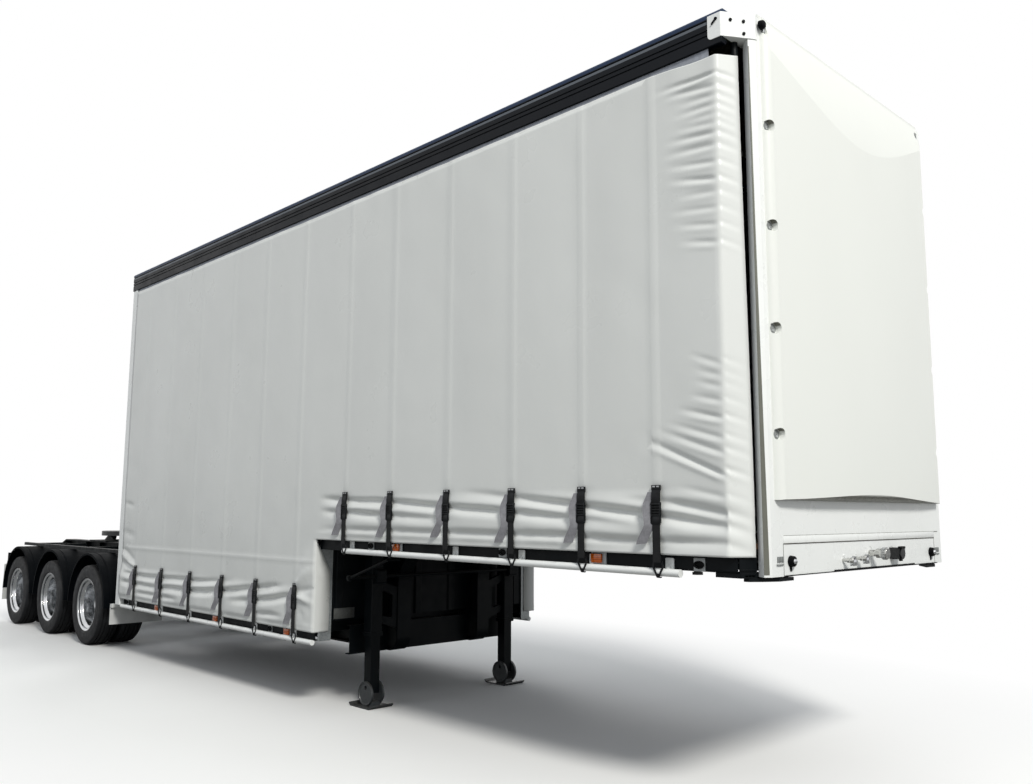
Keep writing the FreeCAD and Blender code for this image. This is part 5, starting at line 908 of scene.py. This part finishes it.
class TRAILER_OT_wheel_nuts(bpy.types.Operator):
    """Adds the flanged nuts, the studs, the hub cap's screws and the valves to each pair of wheels"""
    bl_idname = "trailer.wheel_nuts"
    bl_label = "Wheel nuts"

    def execute(self, context):
        chrome = bare_metal("chrome_plated_steel", hex_rgba("#d4d6d8"), 0.10)
        black = moulded_plastic("black_rubber_valve", hex_rgba("#121314"))
        outward = Vector((0, -1, 0))
        for axle, x, name, way, body in wheel_sets():
            bm = bmesh.new()
            for angle in angles(context.scene.trailer_sizes.wheel_nuts):
                add_stack(bm, about_axle(x, DISC_Y, NUT_CIRCLE, angle), outward, WHEEL_NUT, angle)
            for angle in angles(6, 0.5):
                add_stack(bm, about_axle(x, CAP_Y + 0.004, CAP_CIRCLE, angle), outward, CAP_SCREW, angle)
            valve = about_axle(x, DISC_Y - 0.012, VALVE_CIRCLE, 0.3)
            add_rod(bm, valve, valve + Vector((0.010, -0.075, 0.004)), 0.005, 0.004, 12, material=1)
            finish_piece(f"wheel_nuts_{axle}_{name}", bm, way, body, chrome, black)
        return {"FINISHED"}


# ================================================================ fittings along the side
MARKERS = ((1.054, 1.311), (2.976, 1.314), (4.457, 0.578), (5.742, 0.578), (7.053, 0.575))
LASHING_RINGS = ((0.358, 1.302), (1.858, 1.316), (3.300, 1.316), (4.750, 0.575), (7.860, 0.575))
RAVE_BOLTS = ((0.30, 0.301, 1.395), (4.20, 0.3245, 0.700))  # first of twelve, their pitch, their height


class TRAILER_OT_side_fittings(bpy.types.Operator):
    """Fits the amber markers, the lashing rings on their plates and the bolts along the raves"""
    bl_idname = "trailer.side_fittings"
    bl_label = "Side fittings"

    def execute(self, context):
        amber = lamp_lens("amber_acrylic_lens", hex_rgba("#d2610f"))
        grey = gloss_enamel("grey_bracket_enamel", hex_rgba("#a9acac"), 0.35)
        zinc = bare_metal("zinc_plated_steel_fittings", hex_rgba("#9fa2a4"), 0.34)
        black = moulded_plastic("black_rubber_base", hex_rgba("#141516"))
        for name, way in SIDES:
            bm = bmesh.new()
            for s, z in MARKERS:
                add_block(bm, place(s + 0.046, RAVE_Y - 0.010, z - 0.036), place(s - 0.064, RAVE_Y, z + 0.036),
                          0.002, 1)
                add_block(bm, place(s + 0.042, RAVE_Y - 0.026, z - 0.026), place(s - 0.040, RAVE_Y - 0.009, z + 0.026),
                          0.006)
            finish_piece("side_markers_" + name, bm, way, "trailer", amber, grey)
            bm = bmesh.new()
            for s, z in LASHING_RINGS:
                self.lashing_ring(bm, s, z)
            for first, pitch, z in RAVE_BOLTS:
                for s in [first + pitch * index for index in range(12)]:
                    add_rod(bm, place(s, RAVE_Y, z), place(s, RAVE_Y - 0.006, z), 0.008, 0.0075, 6)
            finish_piece("rave_fittings_" + name, bm, way, "trailer", zinc, grey, black)
        return {"FINISHED"}

    def lashing_ring(self, bm, s, z):
        """Pressed ring on its plate: a stout wire round the hole of its dished seat, a little wider than high."""
        add_block(bm, place(s + 0.036, RAVE_Y - 0.005, z - 0.034), place(s - 0.036, RAVE_Y, z + 0.036), 0.004, 1)
        wire = [(-0.010 - 0.005 * math.cos(angle), 0.020 + 0.005 * math.sin(angle)) for angle in angles(8)]
        seat = ((-0.0055, 0.0), (-0.0065, 0.014), (-0.0055, 0.016))
        middle, before = place(s, RAVE_Y, z), set(bm.verts)
        add_turned(bm, middle, (0, 1, 0), wire, 24, closed=True, material=2)
        add_turned(bm, middle, (0, 1, 0), seat, 24, material=2)
        bmesh.ops.scale(bm, vec=(1.35, 1.0, 0.85), verts=verts_since(bm, before), space=Matrix.Translation(-middle))


# ================================================================ fittings on the front
CORNER_BOLTS = ((0.075, -1.213, 4.231), (0.033, -1.149, 4.229), (0.033, -1.149, 4.158))
BUFFER = ((0.0, 0.0), (0.0, 0.026), (0.012, 0.026), (0.024, 0.022), (0.030, 0.012), (0.030, 0.0))
POST_SHADE_STRIP = ((0.030, 1.262), (0.022, 2.0), (0.012, 3.0), (0.005, 4.092))    # width of the painted shade strip at each height
LAMP_HOOD = ((0.0, 0.030), (0.022, 0.027), (0.026, 0.021), (0.020, 0.021))
LAMP_CAP = ((0.0, 0.0), (0.0, 0.015), (0.006, 0.012), (0.009, 0.0))
PANEL_HALF = 0.972                      # half the width of the coupling panel


class TRAILER_OT_front_fittings(bpy.types.Operator):
    """Fits the roof corners' bolts, the buffers, the vents, the lap strip and the panel's lamps and sockets"""
    bl_idname = "trailer.front_fittings"
    bl_label = "Front fittings"

    def execute(self, context):
        black = moulded_plastic("black_rubber_buffer", hex_rgba("#0d0e10"), 0.4)
        grey = moulded_plastic("grey_abs_vent", hex_rgba("#8d908f"), 0.4)
        chrome = bare_metal("chrome_plated_fittings", hex_rgba("#d4d6d8"), 0.12)
        # grey-green strip up the post's chamfer: painted shade
        lip = rubber_sheet("painted_post_shade", hex_rgba("#66675e"))
        for name, way in SIDES:
            bm = bmesh.new()
            self.corner_bolts(bm, way == -1)
            finish_piece("corner_bolts_" + name, bm, way, "trailer", black)
            for label, build, materials in (
                    ("front_vents_", self.vents, (grey,)), ("post_shade_strips_", self.post_shade_strip, (lip,)),
                    ("pocket_shade_discs_and_bolts_", self.pocket_shade_discs_and_bolts, (grey, chrome))):
                bm = bmesh.new()
                build(bm)
                finish_piece(label + name, bm, way, "trailer", *materials)
        lap = gloss_enamel("white_lap_strip", context.scene.trailer_colours.enamel)
        seal = moulded_plastic("grey_body_sealant", hex_rgba("#9a9c98"), grain=6.0)
        # dark line under the lap strip: the joint, darkened as painted shadow under the strip's edge
        dark = moulded_plastic("painted_lap_shadow", hex_rgba("#4b4740"), 0.6, 4.0)
        for label, build, materials in (
                ("panel_laps", self.panel, (lap, seal, dark, black)), ("lamp_hoods", self.lamp_hoods, (black, chrome)),
                ("coupling_details", self.sockets, (black, chrome))):
            bm = bmesh.new()
            build(bm)
            finish_piece(label, bm, -1, "trailer", *materials)
        return {"FINISHED"}

    def corner_bolts(self, bm, with_buffer):
        """Bolts of the roof corner's cap, a black strip in its wing that paints the shade in its slot, and on one side
        the buffer above the fairing.
        """
        for spot in CORNER_BOLTS:
            add_rod(bm, place(*spot) - CORNER_FACE * 0.004, place(*spot) + CORNER_FACE * 0.006, 0.010, 0.009, 12)
        # a black strip up the wing's slot: painted shade in the slot, with a bolt at its top
        foot, head = place(0.163, -1.262, 4.217), place(0.135, -1.262, 4.243)
        proud = Vector((0, -0.0015, 0))
        add_ribbon(bm, [foot + proud, head + proud], Vector((0.007, 0, -0.008)), 0.003)
        add_rod(bm, head + Vector((0, 0.004, 0)), head + Vector((0, -0.006, 0)), 0.009, 0.008, 12)
        if with_buffer:
            add_turned(bm, place(-0.012, -1.052, 4.226), (1, 0, 0), BUFFER, 28)

    def vents(self, bm):
        """Four upright slots of a vent over its sill."""
        for index in range(4):
            y = -1.034 + 0.016 * index
            add_block(bm, place(0.0, y - 0.004, 1.322), place(-0.006, y + 0.004, 1.352), 0.001)
        add_block(bm, place(0.0, -1.046, 1.306), place(-0.006, -0.984, 1.314), 0.001)

    def post_shade_strip(self, bm):
        """A grey strip up the rear edge of the chamfered post, where the cloth's return closes on it: painted shade on
        the post's face, widest at the foot.
        """
        edge = place(0.0, CORNER_RUN[1] - HALF, 0.0) + CORNER_REAR * 0.045 + CORNER_FACE * 0.0015
        add_ribbon(bm, [edge - CORNER_REAR * width / 2 + Vector((0, 0, z)) for width, z in POST_SHADE_STRIP],
                   [CORNER_REAR * width for width, _ in POST_SHADE_STRIP], 0.002)

    def pocket_shade_discs_and_bolts(self, bm):
        """Grey discs on the floors of the fairing's pockets, painted shade in the recesses, each with a bolt."""
        for index in range(5):
            z = 1.978 + 0.559 * index
            # a grey disc on the pocket's floor: painted shade in the recess
            add_rod(bm, place(-0.007, -1.017, z), place(-0.0092, -1.017, z), 0.0268, 0.0262, 28)
            add_rod(bm, place(-0.009, -1.022, z - 0.008), place(-0.016, -1.022, z - 0.008), 0.009, 0.008, 6, 1)

    def panel(self, bm):
        """The lap strip across the panel with its beads of sealant, a dark joint line under it darkened as painted
        shadow, the joint down each side below it, and black strips along the panel's foot that are partly painted
        shadow.
        """
        add_block(bm, place(0.0, -PANEL_HALF, 1.418), place(-0.004, PANEL_HALF, 1.456), 0.001)
        # dark line under the lap strip: the joint, darkened as painted shadow under the strip's edge
        add_block(bm, place(0.0, -0.970, 1.4135), place(-0.0028, 0.970, 1.4185), 0.0, 2)
        for index in range(30):
            y, wave = -0.968 + 0.0667 * index, 0.0016 * drift(index * 0.9, 3.0, 0.0)
            add_rod(bm, place(-0.001, y, 1.4565 + wave), place(-0.001, y + 0.068, 1.4565 - wave), 0.0026, sides=8,
                    material=1)
        for y in (-0.973, 0.973):
            add_block(bm, place(0.0, y - 0.0018, 1.2525), place(-0.0016, y + 0.0018, 1.418), 0.0, 1)
        # black strips along the panel's foot: the frame's dark edge, darkened as painted shadow under the panel
        add_block(bm, place(0.004, -PANEL_HALF, 1.2495), place(-0.0050, 1.000, 1.2550), 0.0, 3)
        add_block(bm, place(0.004, -0.430, 1.2495), place(-0.0054, 0.640, 1.2620), 0.0, 3)

    def lamp_hoods(self, bm):
        """A chromed hood over each small lamp, and a black ribbon that drops from it: painted shadow of the lamp."""
        for y, z in ((-0.905, 1.325), (0.905, 1.325)):
            add_turned(bm, place(-0.002, y, z), (1, 0, 0), LAMP_HOOD, 28)
            add_turned(bm, place(-0.028, y, z), (1, 0, 0), LAMP_CAP, 24, material=1)
            # the black ribbon below the lamp is painted shadow
            add_ribbon(bm, [place(s, y, z - drop) for s, drop in ((-0.004, 0.022), (-0.006, 0.040), (-0.003, 0.052))],
                       Vector((0, 0.014, 0)), 0.006)

    def sockets(self, bm):
        """Gladhand ears on the small couplings, the third one's knurled sleeve, and the lidded socket's hinge."""
        for y, z in ((-0.320, 1.312), (-0.160, 1.318)):
            add_block(bm, place(-0.040, y - 0.006, z - 0.030), place(-0.068, y + 0.028, z + 0.006), 0.004, 1)
            add_rod(bm, place(-0.050, y + 0.012, z + 0.012), place(-0.066, y + 0.012, z + 0.012), 0.013, 0.011, 20, 1)
        for angle in angles(20):
            spot = place(-0.080, 0.020 + 0.033 * math.cos(angle), 1.342 + 0.033 * math.sin(angle))
            add_rod(bm, spot, spot + Vector((0.022, 0, 0)), 0.0035, sides=8, material=1)
        add_block(bm, place(-0.055, 0.279, 1.362), place(-0.070, 0.361, 1.376), 0.004)
        add_rod(bm, place(-0.058, 0.366, 1.318), place(-0.058, 0.366, 1.376), 0.0055, sides=12, material=1)
        for z in (1.330, 1.356):
            add_block(bm, place(-0.050, 0.356, z), place(-0.064, 0.372, z + 0.010), 0.002, 1)
        add_block(bm, place(-0.054, 0.288, 1.288), place(-0.068, 0.318, 1.304), 0.003)


# ================================================================ fittings under the deck
class TRAILER_OT_chassis_fittings(bpy.types.Operator):
    """Fits the nuts of the axle clamps and the blank data plate with its screws"""
    bl_idname = "trailer.chassis_fittings"
    bl_label = "Chassis fittings"

    def execute(self, context):
        zinc = bare_metal("zinc_plated_bolts", hex_rgba("#8f9294"), 0.36)
        plate = bare_metal("blank_aluminium_plate", hex_rgba("#6e706e"), 0.5)
        bm = bmesh.new()
        for x, y, along, across in product(AXLE_X, (-0.45, 0.45), (-0.042, 0.042), (-0.052, 0.052)):
            add_stack(bm, Vector((x + along, y + across, 0.601)), Vector((0, 0, 1)), CLAMP_NUT)
        finish_piece("clamp_nuts", bm, -1, "trailer", zinc)
        bm = bmesh.new()
        low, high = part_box("step_bulkhead")
        foot = low.z + 0.012
        add_block(bm, Vector((high.x, -1.06, foot)), Vector((high.x + 0.002, -0.86, foot + 0.085)), 0.0005)
        for y, z in product((-1.05, -0.87), (foot + 0.01, foot + 0.075)):
            add_rod(bm, Vector((high.x, y, z)), Vector((high.x + 0.004, y, z)), 0.004, sides=12)
        finish_piece("data_plate", bm, -1, "trailer", plate)
        return {"FINISHED"}


# ================================================================ stage
CAMERA_AT = (8.544, -5.268, 1.572)
CAMERA_LENS = 31.637                    # on a sensor 36 mm wide
CAMERA_TURN = (135.742, 7.541, 0.234)   # heading, pitch and roll, in degrees
# each soft lamp: where it stands, where it points, how wide it is, its power and its tint
LAMPS = (("key", (21.5, -8.6, 18.0), (1.5, 0.0, 2.2), 5.4, 5300.0, "#fffdf8"),
         ("side", (-2.0, -20.0, 9.0), (-1.0, 0.0, 1.6), 10.0, 200.0, "#f4f7ff"),
         ("rim", (-13.0, 9.0, 11.0), (-3.0, 0.0, 2.0), 8.0, 700.0, "#ffffff"))
WHITE = (1.0, 1.0, 1.0, 1.0)


class TRAILER_OT_stage(bpy.types.Operator):
    """Sets out the pale studio: floor, soft lamps, white surround and the camera low at the front corner"""
    bl_idname = "trailer.stage"
    bl_label = "Studio"

    def execute(self, context):
        context.scene.view_settings.view_transform = "Standard"
        context.scene.camera = self.camera()
        self.floor()
        self.lamps()
        self.surround(context.scene)
        return {"FINISHED"}

    def camera(self):
        """The camera low at the front corner."""
        data = bpy.data.cameras.new("camera")
        data.sensor_width = 36.0
        data.lens = CAMERA_LENS
        data.clip_start, data.clip_end = 0.05, 400.0
        heading, pitch, roll = (math.radians(angle) for angle in CAMERA_TURN)
        look = Vector((math.cos(pitch) * math.cos(heading), math.cos(pitch) * math.sin(heading), math.sin(pitch)))
        right = look.cross(Vector((0.0, 0.0, 1.0))).normalized()
        up = right.cross(look)
        axes = (right * math.cos(roll) + up * math.sin(roll), up * math.cos(roll) - right * math.sin(roll), -look)
        camera = new_object("camera", data)
        camera.matrix_world = Matrix.Translation(CAMERA_AT) @ Matrix(axes).transposed().to_4x4()
        return camera

    def floor(self):
        """A wide pale floor that takes the shadow and fades into the surround."""
        bm = bmesh.new()
        bmesh.ops.create_grid(bm, x_segments=8, y_segments=8, size=90.0)
        floor = new_object("floor", new_mesh("floor", bm))
        pale = Finish("pale_studio_floor", Specular_IOR_Level=0.1)
        # the camera sees a paler floor than the one that throws light back up
        looked_at = pale.add("LightPath").outputs["Is Camera Ray"]
        seen = pale.blotches(4000, hex_rgba("#f0f0ee"), hex_rgba("#f6f6f4"))
        pale.lead(pale.add("Mix", {"Factor": looked_at, "A": hex_rgba("#8c8c8a"), "B": seen}, data_type="RGBA"))
        pale.gloss(900, 0.7, 0.9)
        # beyond the shadow the floor turns into the white surround, but only where the camera sees it:
        # from 2.6 to 5.2 m to either side, and twice as far along the trailer
        reach = pale.add("Mapping", {"Vector": pale.where, "Scale": (0.5, 1.0, 1.0)})
        away = pale.add("VectorMath", {0: reach}, operation="LENGTH")
        share = pale.add("MapRange", {"Value": away, "From Min": 2.6, "From Max": 5.2})
        fade = pale.add("Math", {0: share, 1: looked_at}, operation="MULTIPLY")
        white = pale.add("Emission", {"Color": WHITE, "Strength": 1.0})
        mix = pale.add("MixShader", {0: fade, 1: pale.shader, 2: white})
        pale.tree.links.new(live(mix), pale.tree.nodes["Material Output"].inputs["Surface"])
        floor.data.materials.append(pale.material)

    def lamps(self):
        """Big soft lamps: a key over the front corner, a fill down the side and a rim behind."""
        for name, spot, aim, size, power, tint in LAMPS:
            data = bpy.data.lights.new(name, "AREA")
            data.shape = "DISK"
            data.size = size
            data.energy = power
            data.color = hex_rgba(tint)[:3]
            lamp = new_object(name, data)
            lamp.location = spot
            lamp.rotation_mode = "QUATERNION"
            lamp.rotation_quaternion = (Vector(aim) - Vector(spot)).to_track_quat("-Z", "Y")

    def surround(self, scene):
        """White where the camera, gloss or glass looks; a plain soft grey dome for the light itself."""
        world = bpy.data.worlds.new("surround")
        scene.world = world
        world.use_nodes = True
        tree = world.node_tree
        tree.nodes.clear()
        rays = add_node(tree, "LightPath").outputs
        seen = rays["Is Camera Ray"]
        for ray in ("Is Transmission Ray", "Is Glossy Ray"):
            seen = add_node(tree, "Math", {0: seen, 1: rays[ray]}, operation="MAXIMUM")
        dome = add_node(tree, "Background", {"Color": hex_rgba("#e9eef4"), "Strength": 0.60})
        white = add_node(tree, "Background", {"Color": WHITE, "Strength": 1.0})
        mix = add_node(tree, "MixShader", {0: seen, 1: dome, 2: white})
        add_node(tree, "OutputWorld", {"Surface": mix}).is_active_output = True


# ================================================================ finishes on the frame's own pieces
class TRAILER_OT_finishes(bpy.types.Operator):
    """Paints, plates and moulds every piece of the frame that stays in view"""
    bl_idname = "trailer.finishes"
    bl_label = "Finishes"

    def execute(self, context):
        colours = context.scene.trailer_colours
        wanted = {
            gloss_enamel("white_two_pack_enamel", colours.enamel): [
                "front_posts", "front_wall", "coupling_panel", "roof_corners", "rear_posts", "rear_wall", "tie_rails"],
            chassis_enamel(colours.chassis): [
                "main_beams", "cross_members", "side_raves", "step_bulkhead", "front_frame", "skid_plate",
                "curtain_poles", "landing_legs_outer", "landing_legs_inner", "landing_braces", "landing_drive",
                "axles", "suspension_arms", "suspension_hangers", "shock_absorbers", "guard_rails", "tail_bar",
                "turntable_base", "air_tanks"],
            gelcoat(colours.moulding): ["front_fairing", "roof"],
            powder_coat(colours.rail): ["roof_rails"],
            galvanised_steel(hex_rgba("#a4a9aa")): ["drop_posts"],
            cast_iron(hex_rgba("#1c1d1e")): ["kingpin", "turntable"],
            cast_iron(hex_rgba("#3a3e40")): ["landing_feet"],
            rubber_sheet("moulded_black_rubber", hex_rgba("#161617")): ["air_bags"],
            rubber_sheet("moulded_white_rubber", hex_rgba("#dcdddb")): ["mudflaps"],
            moulded_plastic("moulded_black_polyethylene", hex_rgba("#05080c"), 0.62, 3.0): ["mudguards"],
            moulded_plastic("moulded_black_abs", hex_rgba("#131416"), 0.3): ["front_lamps"],
            deck_plywood(hex_rgba("#6b4a2f")): ["deck_floors"],
            coupling_metal(hex_rgba("#d2d2cf"), hex_rgba("#0d0f11"), 0.2): ["air_couplings"],
            lamp_lens("red_acrylic_lens", hex_rgba("#8e1410")): ["tail_lamps"],
            polished_wheel(hex_rgba("#d6d8da"), hex_rgba("#151617")): [
                f"wheels_{axle}_{name}" for axle, name in product(AXLES, dict(SIDES))],
        }
        for material, names in wanted.items():
            for name in names:
                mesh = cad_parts[name].data
                mesh.materials.clear()
                mesh.materials.append(material)
        return {"FINISHED"}


# ================================================================ settings, panel and running order
def colour_setting(name, what, code):
    """A colour that a user may change: its name, what it colours, and its default."""
    return FloatVectorProperty(name=name, description="Colour of " + what, size=4, subtype="COLOR", min=0.0, max=1.0,
                               default=hex_rgba(code))


class TrailerColours(bpy.types.PropertyGroup):
    """Colours that a fleet would choose."""
    curtain: colour_setting("Curtain", "the PVC curtain cloth", "#dcdedb")
    enamel: colour_setting("Enamel", "the posts, walls and tie rails", "#eceeec")
    moulding: colour_setting("Moulding", "the fairing and the roof skin", "#e6e8e3")
    chassis: colour_setting("Chassis", "the chassis enamel", "#0a0f12")
    rail: colour_setting("Roof rail", "the roof rails", "#070c13")


class TrailerSizes(bpy.types.PropertyGroup):
    """Sizes of the soft and small pieces."""
    cloth_thickness: FloatProperty(name="Cloth", description="Thickness of the curtain cloth", default=0.0012,
                                   min=0.0005, max=0.004, precision=4, unit="LENGTH")
    belt_width: FloatProperty(name="Belt", description="Width of the strap webbing", default=0.050, min=0.02,
                              max=0.08, unit="LENGTH")
    tread_depth: FloatProperty(name="Tread", description="Depth of the tyre grooves", default=0.012, min=0.002,
                               max=0.02, unit="LENGTH")
    wheel_nuts: IntProperty(name="Wheel nuts", description="Nuts on each wheel", default=10, min=4, max=14)


STEPS = (TRAILER_OT_stage, TRAILER_OT_finishes, TRAILER_OT_curtains, TRAILER_OT_straps, TRAILER_OT_tyres,
         TRAILER_OT_wheel_nuts, TRAILER_OT_side_fittings, TRAILER_OT_front_fittings, TRAILER_OT_chassis_fittings)


class TRAILER_PT_looks(bpy.types.Panel):
    """The trailer's looks, step by step"""
    bl_label = "Trailer looks"
    bl_idname = "TRAILER_PT_looks"
    bl_space_type = "VIEW_3D"
    bl_region_type = "UI"
    bl_category = "Trailer"

    def draw(self, context):
        for group in (context.scene.trailer_colours, context.scene.trailer_sizes):
            for name in group.__annotations__:
                self.layout.prop(group, name)
        for step in STEPS:
            self.layout.operator(step.bl_idname)


CLASSES = (TrailerColours, TrailerSizes) + STEPS + (TRAILER_PT_looks,)


def register():
    for each in CLASSES:
        bpy.utils.register_class(each)
    bpy.types.Scene.trailer_colours = PointerProperty(type=TrailerColours)
    bpy.types.Scene.trailer_sizes = PointerProperty(type=TrailerSizes)


def unregister():
    del bpy.types.Scene.trailer_sizes
    del bpy.types.Scene.trailer_colours
    for each in reversed(CLASSES):
        bpy.utils.unregister_class(each)


def main():
    register()
    for step in STEPS:
        group, name = step.bl_idname.split(".")
        getattr(getattr(bpy.ops, group), name)()


if __name__ == "__main__":
    main()
